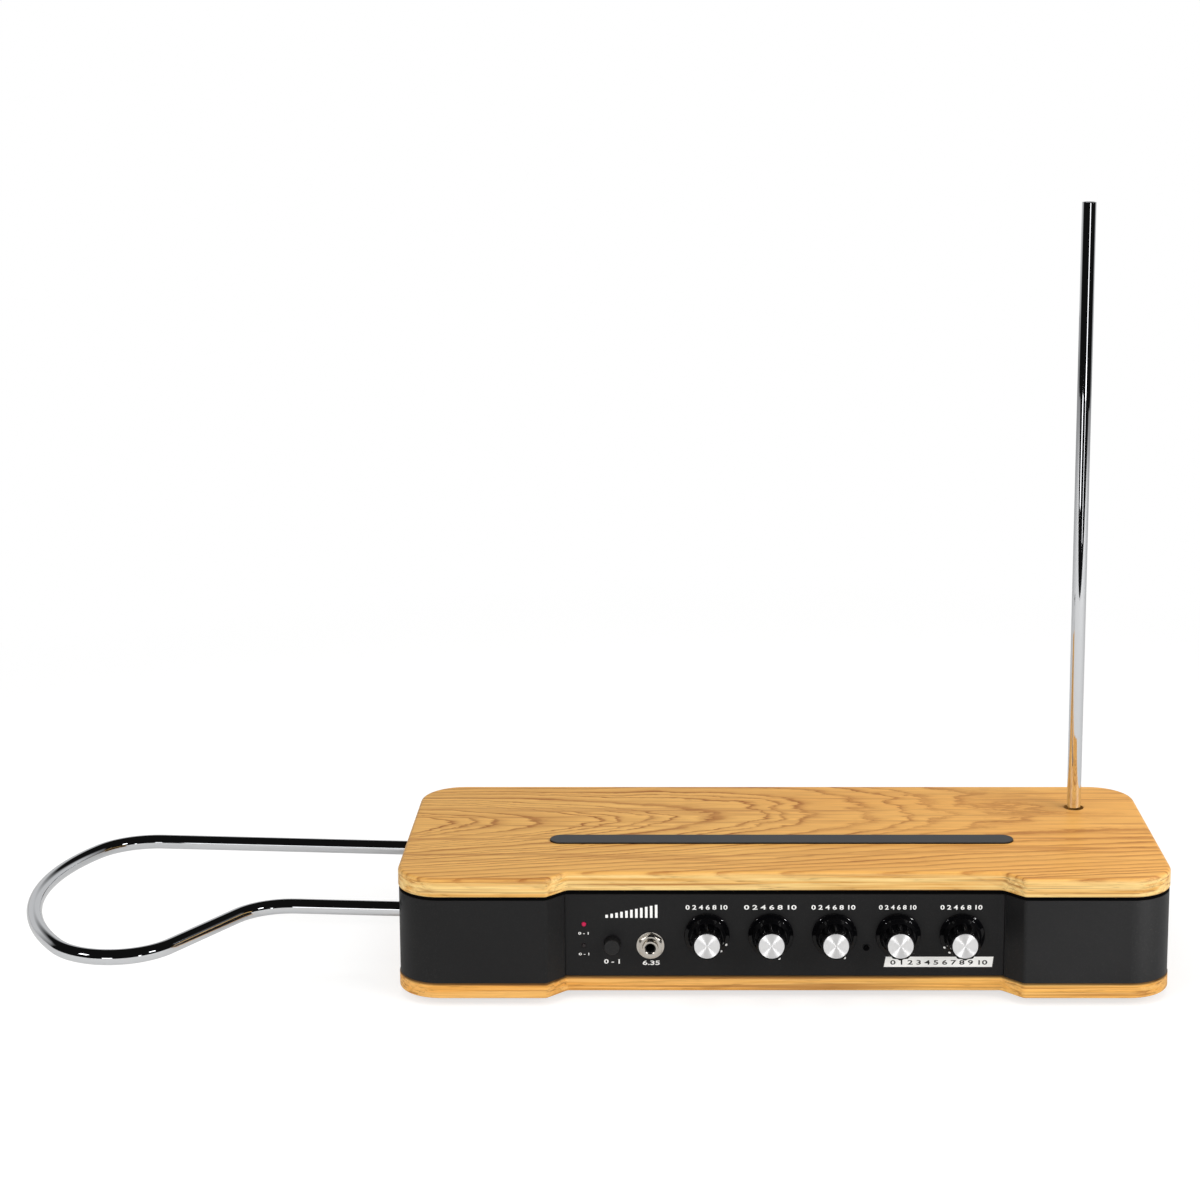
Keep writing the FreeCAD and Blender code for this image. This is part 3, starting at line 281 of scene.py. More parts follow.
def makeOakFigure():
    # growth rings round a slightly tilted heart, seen where the board cuts through them
    look = figureLook
    tree, given, result = newGroup("oakFigure", "ShaderNodeTree", {
        "Vector": "Vector", "Heart Y": 0.05, "Heart Z": 0.02, "Heart Slope": -0.1,
        "Arch Lean": 0.12, "Ring Gap": 0.005, "Wander": 0.01, "Seed": 0.0, "Phase": 0.0,
        "Face Level": 0.079, "Shade From": 1.0, "Shade To": 2.0, "Flame": 0.8,
        "Pale": "Color", "Warm": "Color", "Dark": "Color", "Light": "Color"})
    moved = made(tree, "ShaderNodeVectorMath", {0: given["Vector"], 1: given["Seed"]},
                 operation="ADD")

    def noise(name):
        return grain(moved, *look[name])

    def mask(name):
        return between(noise(name), *look[name + "Span"])

    x, y, z = apart(given["Vector"])
    slow = (noise("slow") - 0.5) * given["Wander"]
    heart = timesPlus(x, given["Heart Slope"], given["Heart Y"])
    across = y - heart + slow * look["heartWander"]
    radius = calc("SQRT", across ** 2.0 + (z - given["Heart Z"]) ** 2.0)
    # the arches lean along the board, most of all over the heart, and end before its right edge
    nearness = 1.0 / ((across / look["archWidth"]) ** 2.0 + 1.0)
    lean = calc("SMOOTH_MIN", x, *look["archEnd"]) * given["Arch Lean"] * nearness
    unrest = given["Wander"] * timesPlus(nearness, *look["unrest"])
    field = (radius + lean) + (slow + (noise("quick") - 0.5) * unrest)
    # years of uneven width and strength
    scale, detail = look["yearNoise"]
    uneven = made(tree, "ShaderNodeTexNoise",
                  {"W": field + given["Seed"], "Scale": scale, "Detail": detail},
                  noise_dimensions="1D")
    rings = field / given["Ring Gap"] + timesPlus(uneven, look["yearUneven"], given["Phase"])
    year = made(tree, "ShaderNodeTexWhiteNoise", {"W": calc("FLOOR", rings)},
                noise_dimensions="1D")
    band = put(tree, "ShaderNodeValToRGB", {"Fac": calc("FRACT", rings)})
    elements = band.color_ramp.elements
    elements[0].color = elements[1].color = grey(1)
    for share, strength in look["ring"]:
        elements.new(share).color = grey(strength)
    ringMask = Wire(band.outputs[0]) * mask("patch") * between(year, *look["yearSpan"])
    fibre = noise("fibre")
    poreMask = mask("pore") * timesPlus(ringMask, *look["poresInRings"])
    base = blendColour(mask("tone"), given["Pale"], given["Warm"])
    # below the face, on the edges, paler flames run along the fibres: partly the wood's own
    # figure, partly a painted sheen
    edge = between(z, *(given["Face Level"] - depth for depth in look["edgeDepths"]))
    flamedWithSheen = blendColour(mask("flame") * (edge * given["Flame"]), base, given["Light"])
    onFace = calc("MAXIMUM", ringMask, mask("streak") * look["faceStreaks"])
    onEdge = calc("MAXIMUM", ringMask * look["edgeRings"], mask("thread") * look["edgeThreads"])
    lines = made(tree, "ShaderNodeMix", {0: edge, 2: onFace, 3: onEdge})
    ringed = blendColour(lines, flamedWithSheen, given["Dark"])
    tints = {channel: between(fibre, *look["fibreSpan"], *span)
             for channel, span in enumerate(look["fibreTints"])}
    tinted = blendColour(1.0, ringed, made(tree, "ShaderNodeCombineColor", tints), "MULTIPLY")
    poreColour = blendColour(look["poreDark"], given["Dark"], look["poreShade"])
    pored = blendColour(poreMask * look["poreStrength"], tinted, poreColour)
    # painted shade: in a band just below its face, where the wall stands on it, the bottom board
    # darkens to the shadow colour
    shaded = between(z, given["Shade From"], given["Shade To"], 0.0, look["shadowStrength"])
    feed(result["Color"], blendColour(shaded, pored, look["shadow"]))
    gloss = between(fibre, *look["fibreSpan"], *look["roughness"])
    feed(result["Roughness"], timesPlus(ringMask, look["ringDull"], gloss))
    feed(result["Height"], timesPlus(poreMask, look["poreRelief"], fibre * look["fibreRelief"]))
    return tree


coatLook = {
    # noises: scale, detail
    "cloud": (14.0, 3.0), "fleck": (2600.0, 0.0), "peelDetail": 1.0,
    "cloudSpan": (0.3, 0.7), "fleckSpan": (0.70, 0.78),
    "cloudShade": (0.92, 1.08), "cloudRoughness": (-0.04, 0.05),
    "dustShade": (0.35, 0.34, 0.32, 1),
}


def makeSatinCoat():
    # a sprayed, baked coat: fine orange peel, faint cloudiness and a little dust
    look = coatLook
    tree, given, result = newGroup("satinCoat", "ShaderNodeTree", {
        "Vector": "Vector", "Peel Scale": 1400.0, "Dust": 0.1, "Roughness": 0.4,
        "Base": "Color"})
    place = given["Vector"]
    cloud = speckle(place, *look["cloud"])
    fleck = between(speckle(place, *look["fleck"]), *look["fleckSpan"])
    shade = greyed(between(cloud, *look["cloudSpan"], *look["cloudShade"]))
    shaded = blendColour(1.0, given["Base"], shade, "MULTIPLY")
    dust = fleck * given["Dust"] * cloud
    feed(result["Color"], blendColour(dust, shaded, look["dustShade"]))
    uneven = between(cloud, *look["cloudSpan"], *look["cloudRoughness"])
    feed(result["Roughness"], given["Roughness"] + uneven)
    feed(result["Height"], speckle(place, given["Peel Scale"], look["peelDetail"]))
    return tree


toolLook = {
    # noises: scale, detail, roughness
    "line": (1.0, 2.0, 0.6), "patch": (90.0, 3.0, 0.6),
    "lineSpan": (0.3, 0.7), "patchSpan": (0.42, 0.68),
    "lineRoughness": (0.84, 1.16), "tarnishDull": 0.2,
}


def makeToolMarks():
    # drawn or turned metal: fine lines, stretched along one axis, and tarnish
    look = toolLook
    tree, given, result = newGroup("toolMarks", "ShaderNodeTree", {
        "Vector": "Vector", "Stretch": (200.0, 200.0, 4000.0), "Tarnish": 0.2,
        "Roughness": 0.3, "Base": "Color", "Stain": "Color"})
    place = given["Vector"]
    scaled = made(tree, "ShaderNodeVectorMath", {0: place, 1: given["Stretch"]},
                  operation="MULTIPLY")
    lines = speckle(scaled, *look["line"])
    worn = between(speckle(place, *look["patch"]), *look["patchSpan"]) * given["Tarnish"]
    feed(result["Color"], blendColour(worn, given["Base"], given["Stain"]))
    dulled = timesPlus(worn, look["tarnishDull"], given["Roughness"])
    uneven = between(lines, *look["lineSpan"], *look["lineRoughness"])
    feed(result["Roughness"], dulled * uneven)
    feed(result["Height"], lines)
    return tree


oakFigure = makeOakFigure()
satinCoat = makeSatinCoat()
toolMarks = makeToolMarks()
print("shared effects built")


# finishes, one for each slot of the record
def emptied(owner):
    # the node tree of a material or a world, ready for its own nodes
    owner.use_nodes = True
    owner.node_tree.nodes.clear()
    return owner.node_tree


def newFinish(name, group, values, relief, shader, chart=None):
    # one material: object or chart coordinates through a shared effect into the shader
    material = bpy.data.materials.new(name)
    tree = emptied(material)
    place = (made(tree, "ShaderNodeUVMap", uv_map=chart) if chart
             else made(tree, "ShaderNodeTexCoord", out="Object"))
    effect = wires(put(tree, "ShaderNodeGroup", {"Vector": place, **values}, node_tree=group))
    inputs = {"Base Color": effect["Color"], "Roughness": effect["Roughness"], **shader}
    if relief:
        inputs["Normal"] = made(tree, "ShaderNodeBump", {
            "Height": effect["Height"], "Strength": relief[0], "Distance": relief[1]})
    if chart:
        inputs["Tangent"] = made(tree, "ShaderNodeTangent", direction_type="UV_MAP",
                                 uv_map=chart)
    if "Emission Strength" in shader:
        inputs["Emission Color"] = effect["Color"]
    surface = made(tree, "ShaderNodeBsdfPrincipled", inputs)
    put(tree, "ShaderNodeOutputMaterial", {"Surface": surface})
    return material


def coat(name, base, roughness, dust=0.1, peel=1400.0, relief=(0.25, 0.00004), sheen=0.5,
         **shader):
    values = {"Base": colour(*base), "Roughness": roughness, "Dust": dust, "Peel Scale": peel}
    return newFinish(name, satinCoat, values, relief, {"Specular IOR Level": sheen, **shader})


def metal(name, base, stain, roughness, tarnish, stretch=(300.0, 300.0, 3000.0),
          relief=(0.15, 0.00003)):
    values = {"Base": colour(*base), "Stain": colour(*stain), "Roughness": roughness,
              "Tarnish": tarnish, "Stretch": stretch}
    return newFinish(name, toolMarks, values, relief, {"Metallic": 1.0})


oakLook = {
    "relief": (0.35, 0.00012),
    "shader": {"IOR": 1.45, "Specular IOR Level": 0.22},
    "both": {"Pale": colour(236, 184, 103), "Warm": colour(227, 169, 88),
             # the pale flame colour is partly a painted sheen on the edges
             "Dark": colour(150, 84, 34), "Light": colour(252, 222, 152),
             "Face Level": 0.079},
    "top": {"Heart Y": 0.036, "Heart Z": 0.0, "Heart Slope": 0.10, "Arch Lean": 0.24,
            "Ring Gap": 0.0056, "Wander": 0.015, "Seed": 3.0, "Phase": 0.45, "Flame": 0.8},
    "bottom": {"Pale": colour(248, 188, 98), "Warm": colour(242, 174, 84),
               "Heart Y": 0.03, "Heart Z": 0.11, "Heart Slope": 0.03, "Arch Lean": 0.1,
               "Ring Gap": 0.0062, "Wander": 0.014, "Seed": 11.0, "Flame": 0.25,
               # painted shade along the wall's foot
               "Shade From": 0.0080, "Shade To": 0.0094},
}


def oakFinish(name, board):
    return newFinish(name, oakFigure, {**oakLook["both"], **oakLook[board]},
                     oakLook["relief"], oakLook["shader"])


finishes = {
    "oak": oakFinish("oakTop", "top"),
    "oakBottom": oakFinish("oakBottom", "bottom"),
    "black_metal": coat("wallBlack", (27, 27, 28), 0.42, dust=0.15, sheen=0.22),
    "panel_black": coat("panelBlack", (27, 27, 28), 0.45, dust=0.15, sheen=0.2),
    # the gasket under the top board is a black part, taken near pure black as painted shade of
    # the gap beneath the board
    "gasket_black": coat("gasketBlack", (3, 3, 4), 0.9, dust=0.0, peel=900.0, sheen=0.1),
    "knob_black": coat("knobBlack", (4, 4, 5), 0.06, dust=0.03, relief=(0.02, 0.00003),
                       sheen=0.22),
    "button_black": coat("buttonBlack", (15, 15, 16), 0.5, dust=0.2),
    "component_black": coat("componentBlack", (28, 28, 29), 0.45, dust=0.3),
    "black_screw": metal("blackScrew", (13, 13, 14), (30, 29, 28), 0.35, 0.4),
    "black_iron": metal("blackIron", (44, 44, 46), (70, 62, 54), 0.5, 0.6,
                        relief=(0.4, 0.0001)),
    "chrome_tube": metal("chromeTube", (236, 238, 241), (205, 206, 208), 0.03, 0.04,
                         stretch=(60.0, 60.0, 60.0), relief=(0.0, 0.00001)),
    "nickel": metal("nickelPlate", (216, 211, 203), (184, 175, 160), 0.16, 0.2),
    "zinc_steel": metal("zincSteel", (190, 192, 194), (140, 138, 132), 0.3, 0.4),
    "pot_steel": metal("potSteel", (176, 178, 180), (120, 116, 110), 0.34, 0.4),
    "brass": metal("turnedBrass", (214, 178, 104), (150, 112, 58), 0.28, 0.5),
    "coil_copper": metal("coilCopper", (196, 116, 74), (120, 62, 34), 0.3, 0.4,
                         stretch=(80.0, 80.0, 5200.0), relief=(0.6, 0.0002)),
    "circuit_board": coat("circuitBoard", (20, 74, 46), 0.32, dust=0.4, peel=500.0),
    "ribbon_grey": coat("ribbonGrey", (150, 150, 152), 0.5, dust=0.2, peel=800.0),
    "lead_red": coat("leadRed", (150, 22, 20), 0.4, dust=0.2),
    "foot_rubber": coat("footRubber", (26, 26, 27), 0.75, dust=0.8, peel=700.0,
                        relief=(0.5, 0.00008)),
    "led_dark": coat("lampDark", (26, 18, 20), 0.25),
    "led_red": coat("lampRed", (176, 8, 66), 0.3, dust=0.0, **{"Emission Strength": 0.22}),
    "print_white": coat("printWhite", (250, 250, 248), 0.55, peel=2500.0),
    "print_black": coat("printBlack", (20, 20, 21), 0.55, peel=2500.0),
    # fine circles from the lathe: the grain runs round, so the shine spreads outwards
    "spun_aluminium": newFinish(
        "spunAluminium", toolMarks,
        {"Base": colour(246, 246, 247), "Stain": colour(226, 227, 229), "Tarnish": 0.2,
         "Roughness": 0.37, "Stretch": (90.0, 2.0, 1.0)},
        None, {"Metallic": 0.8, "Anisotropic": 0.96}, chart="UVMap"),
}

inlayLook = {
    # side: painted shade round the strip's side
    "face": (60, 61, 63), "side": (7, 7, 7), "roughness": 0.42, "sheen": 0.3,
    "turn": 0.0006,           # depth of the edge where face turns to side
}


def makeInlayFinish():
    # the strip is grey on its face; round its side it is painted near black, as painted shade
    # along its edge
    look = inlayLook
    material = coat("inlayGrey", look["face"], look["roughness"], sheen=look["sheen"])
    tree = material.node_tree
    effect = next(node for node in tree.nodes if node.type == "GROUP")
    height = apart(made(tree, "ShaderNodeTexCoord", out="Object"))[2]
    top = highest("top_inlay_strip").z * mm
    onFace = between(height, top - look["turn"], top - look["turn"] / 3)
    feed(effect.inputs["Base"],
         blendColour(onFace, colour(*look["side"]), colour(*look["face"])))
    return material


finishes["inlay_black"] = makeInlayFinish()

for part in frame["record"]["subparts"]:
    name, finish = part["node"], part["material_slot"]
    chosen = finishes["oakBottom"] if name == "bottom_plate" else finishes[finish]
    nodes[name].data.materials.clear()
    nodes[name].data.materials.append(chosen)
print("finishes given to the frame")


# tools for pieces
def handOver(tree, result, geometry, finish):
    # the end of every geometry tree: real faces with their finish on them
    whole = made(tree, "GeometryNodeRealizeInstances", {"Geometry": geometry})
    feed(result["Geometry"], made(tree, "GeometryNodeSetMaterial",
                                  {"Geometry": whole, "Material": finish}))
    return tree


def evaluated(name, points, edges, tree, values):
    # runs a node tree on a little drawing of points and edges, and hands back a plain mesh
    drawing = bpy.data.meshes.new(name + "Drawing")
    drawing.from_pydata(points, edges, [])
    item = bpy.data.objects.new(name, drawing)
    scene.collection.objects.link(item)
    modifier = item.modifiers.new("shape", "NODES")
    modifier.node_group = tree
    known = {socket.name: socket.identifier
             for socket in tree.interface.items_tree if socket.in_out == "INPUT"}
    for label, value in values.items():
        modifier[known[label]] = value
    ready = item.evaluated_get(bpy.context.evaluated_depsgraph_get())
    mesh = bpy.data.meshes.new_from_object(ready)
    item.modifiers.remove(modifier)
    item.data = mesh
    bpy.data.meshes.remove(drawing)
    return item


def tidied(item, sharpAngle, matrix=None):
    # smooth faces that point outwards, sharp only at real corners
    work = bmesh.new()
    work.from_mesh(item.data)
    if matrix is not None:
        work.transform(matrix)
    bmesh.ops.dissolve_degenerate(work, edges=work.edges, dist=0.000001)
    bmesh.ops.recalc_face_normals(work, faces=work.faces)
    for face in work.faces:
        face.smooth = True
    work.to_mesh(item.data)
    work.free()
    item.data.set_sharp_from_angle(angle=math.radians(sharpAngle))
    return item


def seated(item, body, stands=()):
    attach(item, body)
    if stands:
        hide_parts(*stands)


# where a piece's own +Z goes
upright = Matrix.Identity(4)
facingPlayer = Matrix.Rotation(math.radians(90), 4, "X")
facingBack = Matrix.Rotation(math.radians(-90), 4, "X")


# pieces turned on a lathe, by a node tree
latheLook = {
    "chartScale": 100.0,      # rings of the chart for each metre outwards
    "weld": 0.000002,         # closes the seam and the poles
    "arcSteps": 5,            # in a rounded corner
    "arcReach": 0.49,         # most of a side's length that one corner takes
}


def makeTurnedTree():
    tree, given, result = newGroup("turnedPart", "GeometryNodeTree", {
        "Profile": "Geometry", "Steps Round": 96, "Flutes": 12, "Flute Radius": 0.0032,
        "Flute Reach": 1.0, "Flute Start": 1.0, "Rib Softness": 0.0003, "Flats": 2.0,
        "Finish": "Material"})
    profile, fullTurn = given["Profile"], 2 * math.pi

    def fromMiddle(value):
        return calc("FRACT", value) - 0.5

    # a flat sheet, one row for each point of the profile, which is then rolled up
    count = made(tree, "GeometryNodeAttributeDomainSize", {"Geometry": profile},
                 "Point Count", component="MESH")
    sheet = made(tree, "GeometryNodeMeshGrid", {
        "Size X": 1.0, "Size Y": 1.0, "Vertices Y": count,
        "Vertices X": given["Steps Round"] + 1.0})
    place = made(tree, "GeometryNodeInputPosition")
    flat = apart(place)
    row = calc("ROUND", (flat[1] + 0.5) * (count - 1.0))
    drawn = apart(made(tree, "GeometryNodeSampleIndex",
                       {"Geometry": profile, "Value": place, "Index": row}, "Value",
                       data_type="FLOAT_VECTOR", domain="POINT"))
    share = flat[0] + 0.5
    angle = share * fullTurn
    # one flute's own angle, zero at its middle, and how far the flutes let the body reach
    pitch = fullTurn / given["Flutes"]
    local = fromMiddle(angle / pitch) * pitch
    aside = calc("SINE", local) * given["Flute Reach"]
    inside = given["Flute Radius"] ** 2.0 - aside ** 2.0
    deep = calc("SQRT", calc("MAXIMUM", inside, 0.0))
    cut = calc("COSINE", local) * given["Flute Reach"] - deep
    free = calc("MAXIMUM", calc("LESS_THAN", inside, 0.0),
                calc("LESS_THAN", drawn[2], given["Flute Start"]))
    ribbed = calc("SMOOTH_MIN", drawn[0], cut + free, given["Rib Softness"])
    # a hexagon's side, for nuts
    sixth = fromMiddle(share * 6.0) * (math.pi / 3)
    side = given["Flats"] * 0.5 / calc("COSINE", sixth)
    radius = calc("MAXIMUM", calc("MINIMUM", ribbed, side), 0.0)
    chart = joined(drawn[0] * latheLook["chartScale"], share)
    charted = made(tree, "GeometryNodeStoreNamedAttribute",
                   {"Geometry": sheet, "Name": "UVMap", "Value": chart},
                   data_type="FLOAT2", domain="CORNER")
    spun = joined(radius * calc("COSINE", angle), radius * calc("SINE", angle), drawn[2])
    shaped = made(tree, "GeometryNodeSetPosition", {"Geometry": charted, "Position": spun})
    closed = made(tree, "GeometryNodeMergeByDistance",
                  {"Geometry": shaped, "Distance": latheLook["weld"]})
    return handOver(tree, result, closed, given["Finish"])


turnedTree = makeTurnedTree()


def roundedProfile(corners):
    # (radius, height, rounding) corners joined, with an arc at each rounded one
    points, steps, most = [], latheLook["arcSteps"], latheLook["arcReach"]
    for at, (radius, height, rounding) in enumerate(corners):
        here = Vector((radius, height))
        if not rounding or at in (0, len(corners) - 1):
            points.append(here)
            continue
        before = Vector(corners[at - 1][:2]) - here
        after = Vector(corners[at + 1][:2]) - here
        half = before.angle(after) / 2
        back = min(rounding / math.tan(half), before.length * most, after.length * most)
        first, last = here + before.normalized() * back, here + after.normalized() * back
        for k in range(steps + 1):
            t = k / steps
            points.append((1 - t) ** 2 * first + 2 * t * (1 - t) * here + t ** 2 * last)
    return points


def turned(name, corners, finish, steps, place, facing, sharpAngle, **values):
    points = [(p.x * mm, 0, p.y * mm) for p in roundedProfile(corners)]
    edges = [(k, k + 1) for k in range(len(points) - 1)]
    item = evaluated(name, points, edges, turnedTree,
                     {"Steps Round": steps, "Finish": finish, **values})
    return tidied(item, sharpAngle, Matrix.Translation(Vector(place) * mm) @ facing)


# knobs, in millimetres and degrees; heights are above the panel
knobLook = {
    "names": ["phones_volume", "volume_range", "pitch_range", "waveform", "brightness"],
    "steps": 240, "sharpAngle": 32,
    "bodyRadius": 9.55, "bodyTaper": 0.65, "bodyLean": 0.4, "leanRise": 3.0, "rim": 0.75,
    "fluteCount": 12, "fluteRadius": 3.2, "fluteDepth": 0.75, "fluteStart": 8.4,
    "fluteLedge": 0.01, "ribSoftness": 0.35,
    "skirtFoot": 1.0, "footRounding": 0.25, "skirtEdge": 2.6, "edgeRounding": 0.9,
    "flangeRadius": 12.0, "flangeTop": 4.0, "skirtTop": 8.8, "skirtRounding": 0.4,
    "hollowRadius": 9.0, "hollowDepth": 5.0, "hollowRounding": 0.3, "lipRounding": 0.2,
    "boreRadius": 3.03, "boreEnd": 15.4,
    "capSeat": 0.8, "capPlay": 0.05, "seatRounding": 0.1,
    "capSteps": 128, "capSharpAngle": 30, "capGap": 0.02, "capProud": 0.2, "capBevel": 0.4,
    "capRounding": 0.18,
    "skirtDots": {"phones_volume": (115.0, 138.0), "brightness": (-124.0, -144.0)},
    "panelDots": {"volume_range": 161.0, "pitch_range": 157.0, "waveform": 160.0},
    "dotRadius": 0.8, "dotThickness": 0.2, "dotCircle": 13.6, "dotSharpAngle": 30,
    "panelCircle": 17.1, "panelLift": 0.02,
}
knobMiddles = {name: middle(name + "_knob") for name in knobLook["names"]}
knobPlaces = {name: (at.x, panelFace, at.z) for name, at in knobMiddles.items()}
skirtRadius = highest("phones_volume_knob").x - middle("phones_volume_knob").x
knobHeight = panelFace - lowest("phones_volume_knob").y
capRadius = highest("phones_volume_cap").x - middle("phones_volume_cap").x


def knobCorners():
    # (radius, height, rounding), from the bore out over the skirt to the cap's seat
    look = knobLook
    foot, start, top = look["skirtFoot"], look["fluteStart"], look["skirtTop"]
    bore, cave, hollow = look["boreRadius"], look["hollowRadius"], foot + look["hollowDepth"]
    flange, body, step = look["flangeRadius"], look["bodyRadius"], look["fluteLedge"]
    neck = body + look["bodyTaper"]
    steep = (top - look["flangeTop"]) / (flange - neck)
    ledge = flange - (start - look["flangeTop"]) / steep
    seat, floor = capRadius + look["capPlay"], knobHeight - look["capSeat"]
    return [(bore, look["boreEnd"], 0), (bore, hollow, 0),
            (cave, hollow, look["hollowRounding"]), (cave, foot, look["lipRounding"]),
            (skirtRadius, foot, look["footRounding"]),
            (skirtRadius, look["skirtEdge"], look["edgeRounding"]),
            (flange, look["flangeTop"], look["skirtRounding"]),
            (ledge + step, start - step, 0), (ledge - step, start + step, 0),
            (neck, top, look["skirtRounding"]),
            (body + look["bodyLean"], top + look["leanRise"], 0),
            (body, knobHeight, look["rim"]), (seat, knobHeight, look["seatRounding"]),
            (seat, floor, 0), (0, floor, 0)]


def makeKnobs():
    look = knobLook
    reach = look["bodyRadius"] - look["fluteDepth"] + look["fluteRadius"]
    flutes = {"Flutes": look["fluteCount"], "Flute Radius": look["fluteRadius"] * mm,
              "Flute Reach": reach * mm, "Flute Start": look["fluteStart"] * mm,
              "Rib Softness": look["ribSoftness"] * mm}
    back, front = knobHeight - look["capSeat"] + look["capGap"], knobHeight + look["capProud"]
    disc = [(0, back, 0), (capRadius, back, 0), (capRadius, front, look["capRounding"]),
            (capRadius - look["capBevel"], front, look["seatRounding"]), (0, front, 0)]
    for name, place in knobPlaces.items():
        knob = turned(name + "_grip", knobCorners(), finishes["knob_black"], look["steps"],
                      place, facingPlayer, look["sharpAngle"], **flutes)
        seated(knob, name + "_dial", [name + "_knob"])
        cap = turned(name + "_disc", disc, finishes["spun_aluminium"], look["capSteps"],
                     place, facingPlayer, look["capSharpAngle"])
        seated(cap, name + "_dial", [name + "_cap"])


makeKnobs()
print("knobs turned")


# dots and rows of marks, by node trees
def makeDotRingTree():
    # small round dots on a cone, at equal steps of angle
    tree, given, result = newGroup("dotRing", "GeometryNodeTree", {
        "Drawing": "Geometry", "Count": 2, "First Angle": 0.0, "Step Angle": 0.5,
        "Dot Radius": 0.0005, "Dot Thickness": 0.0001, "Dot Sides": 20,
        "Circle Radius": 0.0125, "Lift": 0.005, "Lean": 0.5, "Finish": "Material"})
    dot = made(tree, "GeometryNodeMeshCylinder", {
        "Vertices": given["Dot Sides"], "Radius": given["Dot Radius"],
        "Depth": given["Dot Thickness"]})
    leaning = made(tree, "GeometryNodeTransform", {
        "Geometry": dot, "Rotation": joined(y=given["Lean"]),
        "Translation": joined(given["Circle Radius"], z=given["Lift"])})
    spots = made(tree, "GeometryNodeMeshLine", {"Count": given["Count"], "Offset": (0, 0, 0)})
    index = made(tree, "GeometryNodeInputIndex")
    turn = timesPlus(index, given["Step Angle"], given["First Angle"])
    ring = made(tree, "GeometryNodeInstanceOnPoints", {
        "Points": spots, "Instance": leaning, "Rotation": joined(z=turn)})
    return handOver(tree, result, ring, given["Finish"])


def makeMarkRowTree():
    # upright bars in a row on the panel, their height growing evenly from first to last
    tree, given, result = newGroup("markRow", "GeometryNodeTree", {
        "Drawing": "Geometry", "Count": 5, "Spacing": 0.003, "Bar Width": 0.001,
        "First Height": 0.002, "Last Height": 0.008, "Thickness": 0.00005,
        "Finish": "Material"})
    bar = made(tree, "GeometryNodeMeshCube", {"Size": (1, 1, 1)})
    standing = made(tree, "GeometryNodeTransform", {"Geometry": bar, "Translation": (0, 0, 0.5)})
    row = made(tree, "GeometryNodeMeshLine", {
        "Count": given["Count"], "Offset": joined(given["Spacing"])})
    share = made(tree, "GeometryNodeInputIndex") / calc("MAXIMUM", given["Count"] - 1.0, 1.0)
    growth = given["Last Height"] - given["First Height"]
    tall = timesPlus(share, growth, given["First Height"])
    bars = made(tree, "GeometryNodeInstanceOnPoints", {
        "Points": row, "Instance": standing,
        "Scale": joined(given["Bar Width"], given["Thickness"], tall)})
    return handOver(tree, result, bars, given["Finish"])


dotRingTree = makeDotRingTree()
markRowTree = makeMarkRowTree()


def makeKnobDots():
    look = knobLook
    rise = look["flangeTop"] - look["skirtEdge"]       # of the skirt's flange
    run = skirtRadius - look["flangeRadius"]
    lift = look["skirtEdge"] + (skirtRadius - look["dotCircle"]) * rise / run
    rings = [(name, name + "_dial", angles, look["dotCircle"], lift, math.atan2(rise, run))
             for name, angles in look["skirtDots"].items()]
    rings += [(name, "cabinet", (angle, angle), look["panelCircle"], look["panelLift"], 0.0)
              for name, angle in look["panelDots"].items()]
    for name, body, angles, circle, height, lean in rings:
        first, last = (math.radians(90 - angle) for angle in angles)
        dots = evaluated(name + "_dots", [(0, 0, 0)], [], dotRingTree, {
            "Count": 2 if first != last else 1, "First Angle": first,
            "Step Angle": last - first, "Circle Radius": circle * mm, "Lift": height * mm,
            "Lean": lean, "Dot Radius": look["dotRadius"] * mm,
            "Dot Thickness": look["dotThickness"] * mm, "Finish": finishes["print_white"]})
        place = Matrix.Translation(Vector(knobPlaces[name]) * mm)
        seated(tidied(dots, look["dotSharpAngle"], place @ facingPlayer), body)


makeKnobDots()

# print on the panels, in millimetres
printLook = {
    "thickness": 0.05, "weight": 0.02, "curveSteps": 3, "sharpAngle": 30,
    # over the knobs: the text, its foot and top, and the left and right end at each knob
    "knobText": "0 2 4 6 8 10", "knobLevels": (54.3, 57.4),
    "knobSpans": [(-63.2, -36.5), (-26.0, 7.4), (16.9, 44.9), (59.9, 83.8), (99.0, 125.7)],
    # by the button, the socket and the lamps: text, left, right, foot, top
    "rows": [
        ("0 - 1", -115.2, -105.2, 18.2, 21.2),
        ("6.35", -90.6, -79.6, 17.3, 20.3),
        ("0 - 1", -131.6, -125.0, 37.7, 39.4),
        ("0 - 1", -131.3, -124.7, 23.8, 25.5),
    ],
    "bars": {"left": -113.4, "foot": 48.9, "count": 11, "spacing": 3.15, "width": 1.6,
             "first": 2.0, "last": 8.6},
    "strip": [(64.6, 22.85), (133.4, 22.85), (132.5, 16.0), (63.4, 16.0)],
    "stripRow": ("0 1 2 3 4 5 6 7 8 9 10", 67.5, 129.5, 17.5, 20.6),
    "stripLevel": 0.9,        # share of the strip's thickness where its figures start
    # on the back, seen from the front: text and middle
    "rearFigures": {"1": 40.0, "2": 5.0, "3": -40.0, "4": -62.0, "5": -84.0, "6": 85.0,
                    "0 - 1": 120.0},
    "rearFoot": 51.0, "rearHeight": 3.2,
}


def writing(text):
    # plain figures as a flat mesh, in its own size
    data = bpy.data.curves.new("figures", "FONT")
    data.body = text
    data.offset = printLook["weight"]
    data.resolution_u = printLook["curveSteps"]
    item = bpy.data.objects.new("figures", data)
    scene.collection.objects.link(item)
    ready = item.evaluated_get(bpy.context.evaluated_depsgraph_get())
    mesh = bpy.data.meshes.new_from_object(ready)
    bpy.data.objects.remove(item)
    return mesh


def raised(work):
    # gives flat faces the print's thickness
    grown = bmesh.ops.extrude_face_region(work, geom=work.faces[:])
    for part in grown["geom"]:
        if isinstance(part, bmesh.types.BMVert):
            part.co.z = printLook["thickness"]


